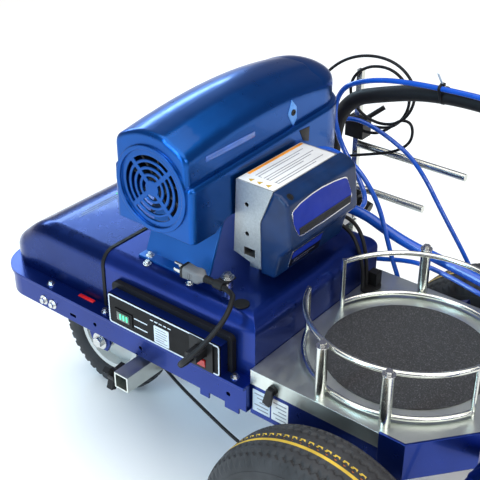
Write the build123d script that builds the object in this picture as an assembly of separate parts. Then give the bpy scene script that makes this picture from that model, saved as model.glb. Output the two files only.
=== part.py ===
"""Battery-electric line striping machine: a chassis on two rear wheels and a front caster,
with a battery hood, an electric pump drive, a pail tray and a right-hand gun arm.

Millimetres. +X is the machine's right, +Y its front, +Z up. The model is built around the
ground point under the rear axle's centre and moved at the end, so that the origin is the
bottom centre of the whole machine without its loose hoses and cords.
"""

from build123d import *
import math
import os

# Driving dimensions -----------------------------------------------------------------
TYRE_RADIUS = 203.0
TYRE_WIDTH = 118.0
RIM_RADIUS = 101.6
LEFT_WHEEL_X = -284.0
RIGHT_WHEEL_X = 305.0
AXLE_RADIUS = 8.0
HUB_HALF = 38.0

CASTER_RADIUS = 132.0
CASTER_WIDTH = 64.0
CASTER_WHEEL_Y = 720.0
SWIVEL_Y = 765.0

PAN_HALF = 202.0
FLANGE_HALF = 210.0
PAN_REAR = 206.0
PAN_FRONT = 814.0
FLANGE_FRONT = 822.0
PAN_LOW = 311.0
FLANGE_LOW = 359.0
FLANGE_TOP = 365.0
SIDE_HALF = 190.0

DECK_HALF = 180.0
DECK_TOP = 475.0
DECK_EDGE = 28.0
SEAM_Y = 547.0
HOOD_FRONT = 817.0
SHEET = 2.0

TRAY_TOP = 394.0
TRAY_SHEET = 2.5
TRAY_HALF = 193.0
PAIL_Y = 31.0
PAD_RADIUS = 140.0
RING_RADIUS = 170.0
RING_WIRE = 4.5
RAIL_Z = 484.0

MOTOR_Y = 418.0
MOTOR_Z = 644.0
SHROUD_REAR = 332.0
SHROUD_FRONT = 503.0
SHROUD_NEAR = -180.0
SHROUD_WALL = 3.0
SHROUD_LOW = 540.0
NOSE_X = 190.0
CROWN_FAR = 754.0
CROWN_HALF = 77.0
LEDGE_HALF = 85.5

GEAR_MODULE = 1.5
PINION_TEETH = 12
GEAR_TEETH = 60
PUMP_X = 236.0
PUMP_Y = 404.0
CRANK_OFFSET = 8.0
ECCENTRIC_RADIUS = 12.0
YOKE_BORE = 28.5

PANEL_REAR = 255.0
PANEL_FRONT = 507.0
PANEL_OUT = -210.0

RAIL_HOLES = (244.0, 443.0, 557.0)
RECEIVER_Y = 445.0
RECEIVER_Z = 284.0
RECEIVER_HALF = 16.0
GUN_X = 420.0
POST_Y = 413.0

HANDLE_X = 150.0
HANDLE_FOOT = (-178.0, 350.0)


# Small helpers ----------------------------------------------------------------------
def block(x, y, z):
    """A box from its two limits along each axis."""
    size = [abs(b - a) for a, b in (x, y, z)]
    middle = [(a + b) / 2 for a, b in (x, y, z)]
    return Pos(*middle) * Box(*size)


def rod(start, end, radius):
    """A solid cylinder between two points."""
    way = Vector(*end) - Vector(*start)
    plane = Plane(origin=Vector(*start), z_dir=way)
    return extrude(plane * Circle(radius), way.length)


def tube(start, end, outer, inner):
    """A hollow cylinder between two points."""
    way = (Vector(*end) - Vector(*start)).normalized()
    first = Vector(*start) - way
    last = Vector(*end) + way
    return rod(start, end, outer) - rod(tuple(first), tuple(last), inner)


def side_prism(points, low, high):
    """A (y, z) outline extruded along X."""
    plane = Plane(origin=(low, 0, 0), x_dir=(0, 1, 0), z_dir=(1, 0, 0))
    return extrude(make_face(plane * Polyline(points, close=True)), high - low, dir=(1, 0, 0))


def front_prism(points, low, high):
    """An (x, z) outline extruded along Y."""
    plane = Plane(origin=(0, high, 0), x_dir=(1, 0, 0), z_dir=(0, -1, 0))
    return extrude(make_face(plane * Polyline(points, close=True)), high - low, dir=(0, -1, 0))


def plan_prism(points, low, high):
    """An (x, y) outline extruded up."""
    face = Plane.XY.offset(low) * make_face(Polyline(points, close=True))
    return extrude(face, high - low, dir=(0, 0, 1))


def rounded_plan(half, rear, front, radius, low, high):
    """A rectangle about x = 0 with its two front corners rounded, extruded up."""
    outline = Polyline((-half, front - radius), (-half, rear), (half, rear), (half, front - radius))
    right = CenterArc((half - radius, front - radius), radius, 0, 90)
    top = Line((half - radius, front), (radius - half, front))
    left = CenterArc((radius - half, front - radius), radius, 90, 90)
    face = make_face([outline, right, top, left])
    return extrude(Plane.XY.offset(low) * face, high - low, dir=(0, 0, 1))


def swept_tube(points, radius, bends):
    """A round bar along straight runs with rounded corners."""
    path = FilletPolyline(*points, radius=bends)
    return sweep(Plane(origin=path @ 0, z_dir=path % 0) * Circle(radius), path=path)


def cord_radii(points):
    """Each corner's radius: 0.45 of its shorter run over the tangent of half its turn."""
    ways = [Vector(*b) - Vector(*a) for a, b in zip(points, points[1:])]
    return [
        0.45 * min(a.length, b.length) / math.tan(math.radians(a.get_angle(b)) / 2)
        for a, b in zip(ways, ways[1:])
    ]


def cord(name, points, diameter):
    """A flexible cord or hose along its route."""
    radii = cord_radii(points)
    path = FilletPolyline(*points, radius=radii)
    solid = sweep(Plane(origin=path @ 0, z_dir=path % 0) * Circle(diameter / 2), path=path)
    share = solid.volume / (math.pi * diameter**2 / 4 * path.length)
    bends = [round(r) for r in radii]
    print(name, "length", round(path.length), "radii", bends, "volume share", round(share, 4))
    return solid


def bolt_head(position, way, across, height):
    """A hexagon head on a washer, standing on a face and pointing along way."""
    plane = Plane(origin=position, z_dir=way)
    washer = extrude(plane * Circle(across * 0.95), 1.5)
    hexagon = extrude(plane.offset(1.5) * RegularPolygon(across / 2, 6, major_radius=False), height)
    return washer + hexagon


def gear(teeth, width, bore, plane, first_angle):
    """A spur gear with slim straight-sided teeth, which leaves backlash in the mesh."""
    pitch = GEAR_MODULE * teeth / 2
    root = pitch - 1.15 * GEAR_MODULE
    tip = pitch + 0.85 * GEAR_MODULE
    step = 360 / teeth
    foot = math.radians(step * 0.24) * pitch
    head = foot * 0.5
    wheel = Circle(root + 0.05)
    tooth = make_face(Polyline((root - 1, -foot), (tip, -head), (tip, head), (root - 1, foot), close=True))
    for index in range(teeth):
        wheel += Rot(0, 0, first_angle + index * step) * tooth
    return extrude(plane * (wheel - Circle(bore)), width, dir=(1, 0, 0))


def group(*shapes):
    """Separate solids kept together as one node."""
    return Compound([solid for shape in shapes for solid in shape.solids()])


def mirrored(shape):
    """The same shape on the other side of x = 0."""
    return mirror(shape, about=Plane.YZ)


# Chassis ----------------------------------------------------------------------------
def pan():
    """The front pan: rail walls, flange, floor, and the caster's head tube."""
    wall = rounded_plan(PAN_HALF, PAN_REAR, PAN_FRONT, 57, PAN_LOW, FLANGE_LOW)
    wall -= rounded_plan(PAN_HALF - 3, PAN_REAR + 3, PAN_FRONT - 3, 54, PAN_LOW + 3, FLANGE_LOW)
    flange = rounded_plan(FLANGE_HALF, PAN_REAR, FLANGE_FRONT, 75, FLANGE_LOW, FLANGE_TOP)
    flange -= rounded_plan(DECK_HALF - 8, PAN_REAR + 8, FLANGE_FRONT - 38, 30, FLANGE_LOW, FLANGE_TOP)
    head = rod((0, SWIVEL_Y, 292), (0, SWIVEL_Y, 352), 28)
    lock = rod((0, 715, PAN_LOW), (0, 715, 340), 11) + block((-10, 10), (694, 700), (296, PAN_LOW + 1))
    body = wall + flange + head + lock
    body -= rod((0, SWIVEL_Y, 280), (0, SWIVEL_Y, 360), 14.06)
    body -= rod((0, 715, 300), (0, 715, 350), 5.06)
    for side in (-1, 1):
        for y in RAIL_HOLES:
            body -= rod((side * 190, y, 330), (side * 215, y, 330), 4.2)
        body -= block((side * 190, side * 215), (607, 623), (322, 328))
        for low, high in ((222, 252), (286, 306)):
            body += block((side * PAN_HALF, side * (PAN_HALF - 3)), (low, high), (299, PAN_LOW + 1))
        depth = (RECEIVER_Y - 16, RECEIVER_Y + 16)
        body += block((side * 120, side * 160), depth, (RECEIVER_Z + 16, PAN_LOW + 1))
    body -= rod((-193, 232, 333), (-188, 232, 333), 4)
    return body


def tail():
    """Side plates with the axle carriers, cross members, bumper and handle sockets."""
    body = None
    for side in (-1, 1):
        across = (side * (SIDE_HALF - 4), side * SIDE_HALF)
        plate = block(across, (-78, PAN_REAR + 1), (303, TRAY_TOP - TRAY_SHEET))
        carrier = side_prism([(-60, 320), (60, 320), (34, 178), (-34, 178)], 182, 190)
        if side < 0:
            carrier = mirrored(carrier)
        body = plate + carrier if body is None else body + plate + carrier
    for y in (-70, 150):
        body += block((-SIDE_HALF + 2, SIDE_HALF - 2), (y, y + 30), (345, 385))
    outer = [(-194, -35.5), (-194, -80), (-100, -155), (100, -155), (194, -80), (194, -35.5)]
    inner = [(190, -35.5), (190, -78), (98.5, -151), (-98.5, -151), (-190, -78), (-190, -35.5)]
    body += plan_prism(outer + inner, 328, 396)
    cross = rod((-172, *HANDLE_FOOT), (172, *HANDLE_FOOT), 16)
    for side in (-1, 1):
        foot = (side * HANDLE_X, *HANDLE_FOOT)
        top = (side * HANDLE_X, HANDLE_FOOT[0] - 72, HANDLE_FOOT[1] + 96)
        cross += rod(foot, top, 18)
        cross += block((side * 60, side * 68), (-176, -153), (334, 366))
    for side in (-1, 1):
        start = (side * HANDLE_X, HANDLE_FOOT[0] - 15, HANDLE_FOOT[1] + 20)
        end = (side * HANDLE_X, HANDLE_FOOT[0] - 90, HANDLE_FOOT[1] + 120)
        cross -= rod(start, end, 14.1)
    body += cross
    body -= rod((-200, 0, TYRE_RADIUS), (200, 0, TYRE_RADIUS), AXLE_RADIUS + 0.05)
    return body


def wheel_brace():
    """The flat braces beside the tray on the right, between the side plate and the carrier."""
    upper = side_prism([(131, 334), (119, 330), (26, 380), (30, 391)], TRAY_HALF + 0.5, SIDE_HALF + 22)
    for low, high, z in ((112, 124, 334), (76, 90, 349)):
        upper += block((SIDE_HALF - 1, TRAY_HALF + 2), (low, high), (z, z + 8))
    lower = side_prism([(92, 338), (92, 348), (20, 333), (20, 323)], SIDE_HALF - 1, SIDE_HALF + 22)
    return upper + lower


def chassis_frame():
    return pan() + tail() + wheel_brace()


def rear_axle():
    """The fixed axle with the four wheel bearings pressed on it."""
    pieces = [rod((LEFT_WHEEL_X - 53, 0, TYRE_RADIUS), (RIGHT_WHEEL_X + 53, 0, TYRE_RADIUS), AXLE_RADIUS)]
    for centre in (LEFT_WHEEL_X, RIGHT_WHEEL_X):
        for side in (-1, 1):
            inner = (centre + side * (HUB_HALF - 14), 0, TYRE_RADIUS)
            outer = (centre + side * HUB_HALF, 0, TYRE_RADIUS)
            pieces.append(tube(inner, outer, 17.5, AXLE_RADIUS))
        edge = math.copysign(SIDE_HALF + 0.2, centre)
        reach = centre - math.copysign(HUB_HALF, centre)
        pieces.append(tube((edge, 0, TYRE_RADIUS), (reach, 0, TYRE_RADIUS), 11, AXLE_RADIUS))
    return group(*pieces)


def hex_bolts():
    """Every hexagon bolt and nut that stands on an outside face."""
    heads = []
    for angle in (164, 200, 23, 343):
        x = 183.5 * math.cos(math.radians(angle))
        y = PAIL_Y + 183.5 * math.sin(math.radians(angle))
        heads.append(bolt_head((x, y, RAIL_Z + 4), (0, 0, 1), 11, 6))
    for side in (-1, 1):
        way = (side, 0, 0)
        for y in (669, 693):
            heads.append(bolt_head((side * PAN_HALF, y, 327), way, 10, 6))
        for y in (363, 461):
            heads.append(bolt_head((side * 156, y, DECK_TOP), (0, 0, 1), 8, 5))
        for y in (235, 534, 677):
            heads.append(bolt_head((side * 195, y, FLANGE_TOP), (0, 0, 1), 8, 5))
        for y in (365, 471):
            heads.append(bolt_head((side * 138, y, DECK_TOP + 4), (0, 0, 1), 8, 5))
    spacer = rod((-133, 301, DECK_TOP), (-133, 301, 497), 9)
    heads.append(spacer)
    heads.append(bolt_head((-133, 301, 500), (0, 0, 1), 12, 7))
    for centre, side in ((LEFT_WHEEL_X, -1), (RIGHT_WHEEL_X, 1)):
        start = centre + side * HUB_HALF
        nut = bolt_head((start, 0, TYRE_RADIUS), (side, 0, 0), 24, 11)
        inner, outer = start - side, start + side * 30
        heads.append(nut - rod((inner, 0, TYRE_RADIUS), (outer, 0, TYRE_RADIUS), AXLE_RADIUS))
    return group(*heads)


# Wheels -----------------------------------------------------------------------------
def revolved_wheel(points, x, y, z):
    """A closed (radius, offset) outline turned about an axle along X."""
    face = make_face(Polyline(points, close=True))
    ring = revolve(face, axis=Axis.Y)
    return Pos(x, y, z) * Rot(0, 0, -90) * ring


def tyre(x, y, z, radius, width, bead, wall):
    """A hollow tyre: crowned tread, bulging sides and an open bead."""
    half = width / 2
    outer = [
        (bead, 0.62 * half), (bead + 9, 0.62 * half), (bead + 12, 0.62 * half + 6),
        (bead + 0.22 * (radius - bead) + 3, 0.90 * half), (bead + 0.5 * (radius - bead), half),
        (bead + 0.75 * (radius - bead), 0.97 * half), (radius - 0.10 * (radius - bead), 0.80 * half),
        (radius - 0.02 * (radius - bead), 0.45 * half), (radius, 0.0),
    ]
    inner = [
        (radius - wall, 0.0), (radius - 1.1 * wall, 0.45 * half),
        (bead + 0.70 * (radius - bead), half - wall), (bead + 0.40 * (radius - bead), half - wall),
        (bead + 0.15 * (radius - bead), 0.62 * half - 2), (bead, 0.62 * half - wall),
    ]
    outer += [(r, -w) for r, w in reversed(outer[:-1])]
    inner = [(r, -w) for r, w in reversed(inner[1:])] + inner
    return revolved_wheel(outer + inner, x, y, z)


def rim(x, y, z, radius, half, disc, hub, bore, hub_half, hub_out):
    """A wheel rim: drop barrel with flanges, a dished disc and a hub tube."""
    barrel = [
        (radius - 4, -half - 4), (radius + 8, -half - 4), (radius + 8, -half), (radius, -half),
        (radius, half), (radius + 8, half), (radius + 8, half + 4), (radius - 4, half + 4),
    ]
    body = revolved_wheel(barrel, x, y, z)
    plate = [
        (hub - 1, disc), (hub - 1, disc + 4), (0.55 * radius, disc + 12), (radius - 3, disc + 4),
        (radius - 3, disc), (0.55 * radius, disc + 8),
    ]
    body += revolved_wheel(plate, x, y, z)
    boss = [(bore, -hub_half), (hub, -hub_half), (hub, hub_half), (bore, hub_half)]
    return body + revolved_wheel(boss, x, y, z)


def rear_rim(x):
    """An eight inch pressed rim that turns on the two bearings of the axle."""
    body = rim(x, 0, TYRE_RADIUS, RIM_RADIUS, 0.62 * TYRE_WIDTH / 2, -2, 24, 17.55, HUB_HALF - 0.2, 0)
    for index in range(4):
        angle = math.radians(45 + 90 * index)
        y = 55 * math.cos(angle)
        z = TYRE_RADIUS + 55 * math.sin(angle)
        body -= rod((x - 30, y, z), (x + 30, y, z), 9)
    return body


# Caster -----------------------------------------------------------------------------
def caster_fork():
    """Stem, crown plate with the lock pin's slot, two tapered legs and the axle's bore."""
    crown = block((-48, 48), (700, 796), (272, 279))
    stem = rod((0, SWIVEL_Y, 278), (0, SWIVEL_Y, 351), 14)
    collar = rod((0, SWIVEL_Y, 278), (0, SWIVEL_Y, 291.5), 24)
    body = crown + stem + collar
    outline = [(704, 274), (792, 274), (748, 132), (738, 112), (702, 112), (692, 132)]
    leg = side_prism(outline, 42, 48)
    body = body + leg + mirrored(leg)
    body -= rod((-60, CASTER_WHEEL_Y, CASTER_RADIUS), (60, CASTER_WHEEL_Y, CASTER_RADIUS), 8.05)
    body -= block((-5.6, 5.6), (690, 720.6), (270, 279.5))
    for side in (-1, 1):
        body -= rod((side * 50, SWIVEL_Y, 266), (side * 50, SWIVEL_Y, 285), 5.6)
    return body


def caster_rim():
    bore = 15.05
    return rim(0, CASTER_WHEEL_Y, CASTER_RADIUS, 74, 0.62 * CASTER_WIDTH / 2, -2, 22, bore, 34, 0)


def caster_axle():
    """The caster's axle bolt with its bearings, washers and nuts."""
    y, z = CASTER_WHEEL_Y, CASTER_RADIUS
    body = rod((-58, y, z), (58, y, z), 8)
    for side in (-1, 1):
        body += rod((side * 24, y, z), (side * 41.7, y, z), 15)
        body += rod((side * 48, y, z), (side * 51, y, z), 19)
        body += extrude(Plane(origin=(side * 51, y, z), z_dir=(side, 0, 0)) * RegularPolygon(12, 6), 9)
    return body


def lock_pin():
    """The caster's lock pin, drawn up clear of the fork's crown."""
    return rod((0, 715, 281), (0, 715, 352), 5) + rod((0, 715, 352), (0, 715, 357), 9)


# Pail tray --------------------------------------------------------------------------
def pail_tray():
    """The plated tray with its turned-down side lips."""
    low = TRAY_TOP - TRAY_SHEET
    outline = [
        (-TRAY_HALF, 205), (TRAY_HALF, 205), (TRAY_HALF, -35), (189.5, -35), (189.5, -77.5),
        (98, -150.5), (-98, -150.5), (-189.5, -77.5), (-189.5, -35), (-TRAY_HALF, -35),
    ]
    body = plan_prism(outline, low, TRAY_TOP)
    for side in (-1, 1):
        body += block((side * TRAY_HALF, side * (TRAY_HALF - TRAY_SHEET)), (-35, 205), (366, low + 1))
    body -= rod((-200, 158, 378), (-180, 158, 378), 4.1)
    body -= rod((127, 185, 380), (127, 185, 400), 9)
    return body


def ring_half(first, last, post_angles):
    """Half of the pail ring: two wire rails, their end posts and two tube posts."""
    low = TRAY_TOP + RING_WIRE + 3
    sweep_angle = last - first
    body = None
    for z in (low, RAIL_Z):
        plane = Plane(origin=(0, PAIL_Y, z))
        path = plane * CenterArc((0, 0), RING_RADIUS, first, sweep_angle)
        rail = sweep(Plane(origin=path @ 0, z_dir=path % 0) * Circle(RING_WIRE), path=path)
        body = rail if body is None else body + rail
    for angle in (first, last):
        x = RING_RADIUS * math.cos(math.radians(angle))
        y = PAIL_Y + RING_RADIUS * math.sin(math.radians(angle))
        body += rod((x, y, TRAY_TOP), (x, y, RAIL_Z + 4.5), 4.0)
    for angle in post_angles:
        x = 183.5 * math.cos(math.radians(angle))
        y = PAIL_Y + 183.5 * math.sin(math.radians(angle))
        body += rod((x, y, TRAY_TOP), (x, y, RAIL_Z + 4), 9.3)
    return body


def pail_ring():
    """Both halves of the ring, open at the front and at the rear."""
    left = ring_half(110, 245, (164, 200))
    right = ring_half(-65, 73, (-17, 23))
    return group(left, right)


def grip_pad():
    return rod((0, PAIL_Y, TRAY_TOP), (0, PAIL_Y, TRAY_TOP + 1.6), PAD_RADIUS)


def tray_latch():
    """A quarter-turn wing latch through the tray's left lip."""
    stem = rod((-190.6, 158, 378), (-199, 158, 378), 4)
    boss = rod((-193.2, 158, 378), (-199, 158, 378), 8)
    wing = side_prism([(152, 382), (164, 382), (172, 352), (158, 348)], -205, -198)
    return stem + boss + wing


# Deck cover and hood ----------------------------------------------------------------
def deck_form(inset):
    """The deck cover's outer or inner form: rounded along its sides and its rear."""
    half = DECK_HALF - inset
    top = DECK_TOP - inset
    body = block((-half, half), (PAN_REAR + inset, SEAM_Y), (FLANGE_TOP, top))
    edges = body.edges().filter_by(Axis.Y).group_by(Axis.Z)[-1]
    edges += body.edges().filter_by(Axis.X).group_by(Axis.Z)[-1].sort_by(Axis.Y)[:1]
    return fillet(edges, DECK_EDGE - inset)


def deck_cover():
    """The steel cover over the rear batteries, with the panel's window in its left wall."""
    body = deck_form(0) - deck_form(SHEET)
    window = block((-DECK_HALF - 2, -DECK_HALF + 4), (PANEL_REAR + 4, PANEL_FRONT - 4), (369, 421))
    body -= window
    body -= rod((-151, 257, 470), (-151, 257, 480), 9)
    return body + panel_box()


def hood_form(inset):
    """The front hood's outer or inner form: a falling nose with rounded edges."""
    top = DECK_TOP - inset
    front = HOOD_FRONT - inset
    half = DECK_HALF - inset
    plane = Plane(origin=(-half, 0, 0), x_dir=(0, 1, 0), z_dir=(1, 0, 0))
    crest = Spline(
        (SEAM_Y + 138, top), (SEAM_Y + 233, 428 - inset), (front, FLANGE_TOP + 12),
        tangents=[(1, 0), (0.16, -1)],
    )
    edge = Polyline((front, FLANGE_TOP + 12), (front, FLANGE_TOP), (SEAM_Y, FLANGE_TOP), (SEAM_Y, top),
                    (SEAM_Y + 138, top))
    profile = extrude(plane * make_face([crest, edge]), 2 * half)
    return profile & rounded_plan(half, SEAM_Y, front, 60 - inset, FLANGE_TOP, top)


def hood():
    """The hood over the front batteries."""
    outer = hood_form(0)
    inner = hood_form(SHEET)
    rim_edges = [e for e in outer.edges() if e.center().Z > FLANGE_TOP + 14 and e.center().Y > SEAM_Y + 1]
    rim_edges = [e for e in rim_edges if abs(e.center().X) > 60]
    for radius in (DECK_EDGE, 24, 18, 12, 6):
        try:
            rounded = fillet(rim_edges, radius)
            if rounded.is_valid:
                print("hood edge radius", radius)
                outer = rounded
                break
        except Exception:
            continue
    inner_edges = [e for e in inner.edges() if e.center().Z > FLANGE_TOP + 14 and e.center().Y > SEAM_Y + 1]
    inner_edges = [e for e in inner_edges if abs(e.center().X) > 60]
    for radius in (DECK_EDGE - SHEET, 22, 16, 10, 4):
        try:
            rounded = fillet(inner_edges, radius)
            if rounded.is_valid:
                inner = rounded
                break
        except Exception:
            continue
    return outer - inner


def seam_strip():
    """The strip that caps the joint between the deck cover and the hood."""
    proud = 1.5
    across = (-DECK_HALF - proud, DECK_HALF + proud)
    band = block(across, (SEAM_Y - 3.5, SEAM_Y + 3.5), (FLANGE_TOP, DECK_TOP + proud))
    band = fillet(band.edges().filter_by(Axis.Y).group_by(Axis.Z)[-1], DECK_EDGE + proud)
    core = block((-DECK_HALF, DECK_HALF), (SEAM_Y - 4, SEAM_Y + 4), (FLANGE_TOP - 1, DECK_TOP))
    core = fillet(core.edges().filter_by(Axis.Y).group_by(Axis.Z)[-1], DECK_EDGE)
    return band - core


def body_seals():
    """The panel's gasket, the seam strip, the deck grommet and the tray's cable gland."""
    frame = block((-190, -DECK_HALF), (PANEL_REAR - 10, PANEL_FRONT + 10), (FLANGE_TOP, 436))
    frame = fillet(frame.edges().filter_by(Axis.X).group_by(Axis.Z)[-1], 10)
    frame -= block((-191, -DECK_HALF + 1), (PANEL_REAR, PANEL_FRONT), (FLANGE_TOP - 1, 425))
    grommet = rod((-151, 257, DECK_TOP), (-151, 257, 477.5), 13)
    grommet += rod((-151, 257, 472), (-151, 257, 476), 8.8)
    gland = rod((137, 185, TRAY_TOP), (137, 185, 398), 15) + rod((120, 185, TRAY_TOP), (120, 185, 398), 13)
    gland += block((132, 150), (176, 194), (397, 424))
    gland += rod((127, 185, 386), (127, 185, 396), 8.8)
    return group(frame, seam_strip(), grommet, gland)


# Charging panel ---------------------------------------------------------------------
INLET_Y, INLET_Z = 293.0, 402.0
SWITCH_Z = 379.0


def panel_box():
    """The sheet surround that holds the charging panel off the deck's left wall."""
    outer = block((PANEL_OUT + 3, -DECK_HALF), (PANEL_REAR, PANEL_FRONT), (FLANGE_TOP, 425))
    depth = (PANEL_REAR + 2.5, PANEL_FRONT - 2.5)
    inner = block((PANEL_OUT + 2, -DECK_HALF + 1), depth, (FLANGE_TOP + 2.5, 422.5))
    return outer - inner


def panel_face():
    """The panel plate with a raised meter bezel and its two cut-outs."""
    body = block((PANEL_OUT, PANEL_OUT + 3), (PANEL_REAR, PANEL_FRONT), (FLANGE_TOP, 425))
    body += block((PANEL_OUT - 1.5, PANEL_OUT + 1), (450, 492), (374, 401))
    body += block((PANEL_OUT + 2, -188), (454, 488), (377, 398))
    body -= block((PANEL_OUT - 2, PANEL_OUT + 4), (INLET_Y - 17, INLET_Y + 17), (368, 416))
    return body


def power_inlet():
    """The mains inlet: a flanged socket with the switch's aperture below it."""
    flange = block((PANEL_OUT - 2.5, PANEL_OUT), (INLET_Y - 25, INLET_Y + 25), (366.2, 423.5))
    cup = block((PANEL_OUT - 1, -185), (INLET_Y - 16.5, INLET_Y + 16.5), (368.5, 415.5))
    body = flange + cup
    body -= block((PANEL_OUT - 3, -192), (INLET_Y - 12.4, INLET_Y + 12.4), (INLET_Z - 8.4, INLET_Z + 8.4))
    body -= block((PANEL_OUT - 3, -194), (INLET_Y - 9.8, INLET_Y + 9.8), (SWITCH_Z - 8.4, SWITCH_Z + 8.4))
    return body


def power_switch():
    """The red rocker, resting tipped to off."""
    rocker = block((-214, -204), (INLET_Y - 9, INLET_Y + 9), (SWITCH_Z - 7, SWITCH_Z + 7))
    pivot = Axis((-208, INLET_Y, SWITCH_Z), (0, 1, 0))
    return rocker.rotate(pivot, -7)


def inlet_connector():
    """The lead's connector, seated in the inlet, with a stub of strain relief."""
    body = block((-238, -196), (INLET_Y - 12, INLET_Y + 12), (INLET_Z - 8, INLET_Z + 8))
    body = fillet(body.edges().filter_by(Axis.X), 3)
    return body + rod((-237, INLET_Y, INLET_Z), (-248, INLET_Y, INLET_Z), 6.5)


def mains_plug():
    """The grounded plug: a grip body, two blades and a round pin."""
    body = block((-172, -148), (333, 372), (490, 512))
    body = fillet(body.edges().filter_by(Axis.Y), 5)
    body += rod((-160, 324, 501), (-160, 334, 501), 6.5)
    for x in (-166.3, -153.7):
        body += block((x - 0.8, x + 0.8), (371, 389), (495, 501.5))
    return body + rod((-160, 371, 508), (-160, 392, 508), 2.4)


def cable_clips():
    """The rubber P-clip on the deck, the suction hose's hook and the hose ties."""
    clip = rod((-160, 287, 501), (-160, 305, 501), 8) + block((-160, -123), (291, 311), (497, 500))
    clip -= rod((-160, 280, 501), (-160, 320, 501), 4.6)
    ring = rod((200, -330, 470), (200, -330, 486), 16) - rod((200, -330, 460), (200, -330, 490), 12)
    hook = ring + rod((188, -322, 478), (152, -284, 478), 4)
    hook -= swept_tube(handle_path(1), 14, [90, 70])
    hook = hook.solids().sort_by(SortBy.VOLUME)[-1]
    return group(clip, hook)


# Batteries and charger --------------------------------------------------------------
def batteries():
    """Four sealed batteries, two under the deck and two under the hood, with posts."""
    pieces = []
    for x in (-137, 5):
        for y in (228, 560):
            case = block((x, x + 132), (y, y + 196), (PAN_LOW + 3, 452))
            if y > 500:
                case = block((x, x + 132), (y, y + 130), (PAN_LOW + 3, 452))
            for dx in (20, 112):
                case += rod((x + dx, y + 20, 451), (x + dx, y + 20, 462), 7)
            pieces.append(case)
    return group(*pieces)


def charger():
    body = block((-165, 90), (436, 536), (PAN_LOW + 3, 364))
    return fillet(body.edges().filter_by(Axis.Z), 8)


# Motor and drive --------------------------------------------------------------------
def motor_cradle():
    """The bent plate pedestal that carries the motor can on the deck."""
    y0, y1 = 347, 490
    half = [(-147, DECK_TOP), (-124, DECK_TOP), (-84, 572), (0, 572)]
    skin = [(0, 576), (-87, 576), (-127, DECK_TOP + 4), (-147, DECK_TOP + 4)]
    left = front_prism(half + skin, y0, y1)
    return left + mirrored(left)


def motor_can():
    """The motor's can with its end bells, hollow around the rotor."""
    axis = (MOTOR_Y, MOTOR_Z)
    body = rod((-125, *axis), (112, *axis), 68)
    body -= rod((-117, *axis), (104, *axis), 62)
    return body - rod((-130, *axis), (115, *axis), 9.06)


def motor_rotor():
    """Shaft, armature, cooling fan and pinion, which turn as one."""
    axis = (MOTOR_Y, MOTOR_Z)
    body = rod((-168, *axis), (156, *axis), 6)
    body += rod((-125, *axis), (112, *axis), 9)
    body += rod((-95, *axis), (70, *axis), 54)
    body += rod((-166, *axis), (-140, *axis), 20)
    for index in range(9):
        blade = block((-163, -143), (MOTOR_Y - 2, MOTOR_Y + 2), (MOTOR_Z + 15, MOTOR_Z + 62))
        body += blade.rotate(Axis((0, *axis), (1, 0, 0)), index * 40)
    toward = math.degrees(math.atan2(crank_z() - MOTOR_Z, PUMP_Y - MOTOR_Y))
    plane = Plane(origin=(138, *axis), x_dir=(0, 1, 0), z_dir=(1, 0, 0))
    return body + gear(PINION_TEETH, 16, 5, plane, toward)


def crank_z():
    """Height of the crank's axis: the gears' centre distance fixes it."""
    distance = GEAR_MODULE * (PINION_TEETH + GEAR_TEETH) / 2
    return MOTOR_Z - math.sqrt(distance**2 - (MOTOR_Y - PUMP_Y) ** 2)


def crank_gear():
    """The big gear with the crankshaft and the eccentric that drives the pump."""
    axis = (PUMP_Y, crank_z())
    toward = math.degrees(math.atan2(MOTOR_Z - crank_z(), MOTOR_Y - PUMP_Y))
    plane = Plane(origin=(139, *axis), x_dir=(0, 1, 0), z_dir=(1, 0, 0))
    body = gear(GEAR_TEETH, 14, 8, plane, toward + 180 / GEAR_TEETH)
    body += rod((125, *axis), (PUMP_X + 17.5, *axis), 10)
    near = (PUMP_X - 10, axis[0] + CRANK_OFFSET, axis[1])
    far = (PUMP_X + 8.5, axis[0] + CRANK_OFFSET, axis[1])
    body += rod(near, far, ECCENTRIC_RADIUS)
    return body


def drive_housing():
    """The cast gearcase with a round nose, hollow for the gears and the crank."""
    z = crank_z()
    body = block((112, 185), (MOTOR_Y - 78, MOTOR_Y + 78), (522, 664))
    body += rod((185, MOTOR_Y, 522), (185, MOTOR_Y, 664), 78)
    body -= block((100, 112), (MOTOR_Y - 80, MOTOR_Y + 80), (520, 666))
    body -= block((128, 205), (MOTOR_Y - 68, MOTOR_Y + 68), (532, 655))
    body -= block((204, PUMP_X + 9.5), (371, 438), (532, 641))
    body -= rod((108, MOTOR_Y, MOTOR_Z), (130, MOTOR_Y, MOTOR_Z), 9.5)
    body -= rod((123.5, PUMP_Y, z), (130, PUMP_Y, z), 10.06)
    body -= rod((PUMP_X + 9, PUMP_Y, z), (PUMP_X + 18, PUMP_Y, z), 10.06)
    return body - rod((PUMP_X, PUMP_Y, 515), (PUMP_X, PUMP_Y, 540), 12)


def crown_half(side, top, inset):
    """Half of the crown's arch, from its spring line up to the crest, as (y, z) points."""
    half = CROWN_HALF - inset
    crest = top - inset
    springing = (MOTOR_Y + 2 + side * half, crest - 42)
    shoulder = (MOTOR_Y + 2 + side * (half - 9), crest - 22)
    haunch = (MOTOR_Y + 2 + side * (half - 36), crest - 8)
    return [springing, shoulder, haunch, (MOTOR_Y + 2, crest)]


def crown_section(x, top, inset):
    """The crown's closed section at one station along the motor's axis."""
    plane = Plane(origin=(x, 0, 0), x_dir=(0, 1, 0), z_dir=(1, 0, 0))
    rear = crown_half(-1, top, inset)
    front = crown_half(1, top, inset)
    up = Spline(rear, tangents=[(0, 1), (1, 0)])
    down = Spline(front[::-1], tangents=[(1, 0), (0, -1)])
    base = Polyline(front[0], (front[0][0], SHROUD_LOW), (rear[0][0], SHROUD_LOW), rear[0])
    return plane * make_face([up, down, base])


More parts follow.
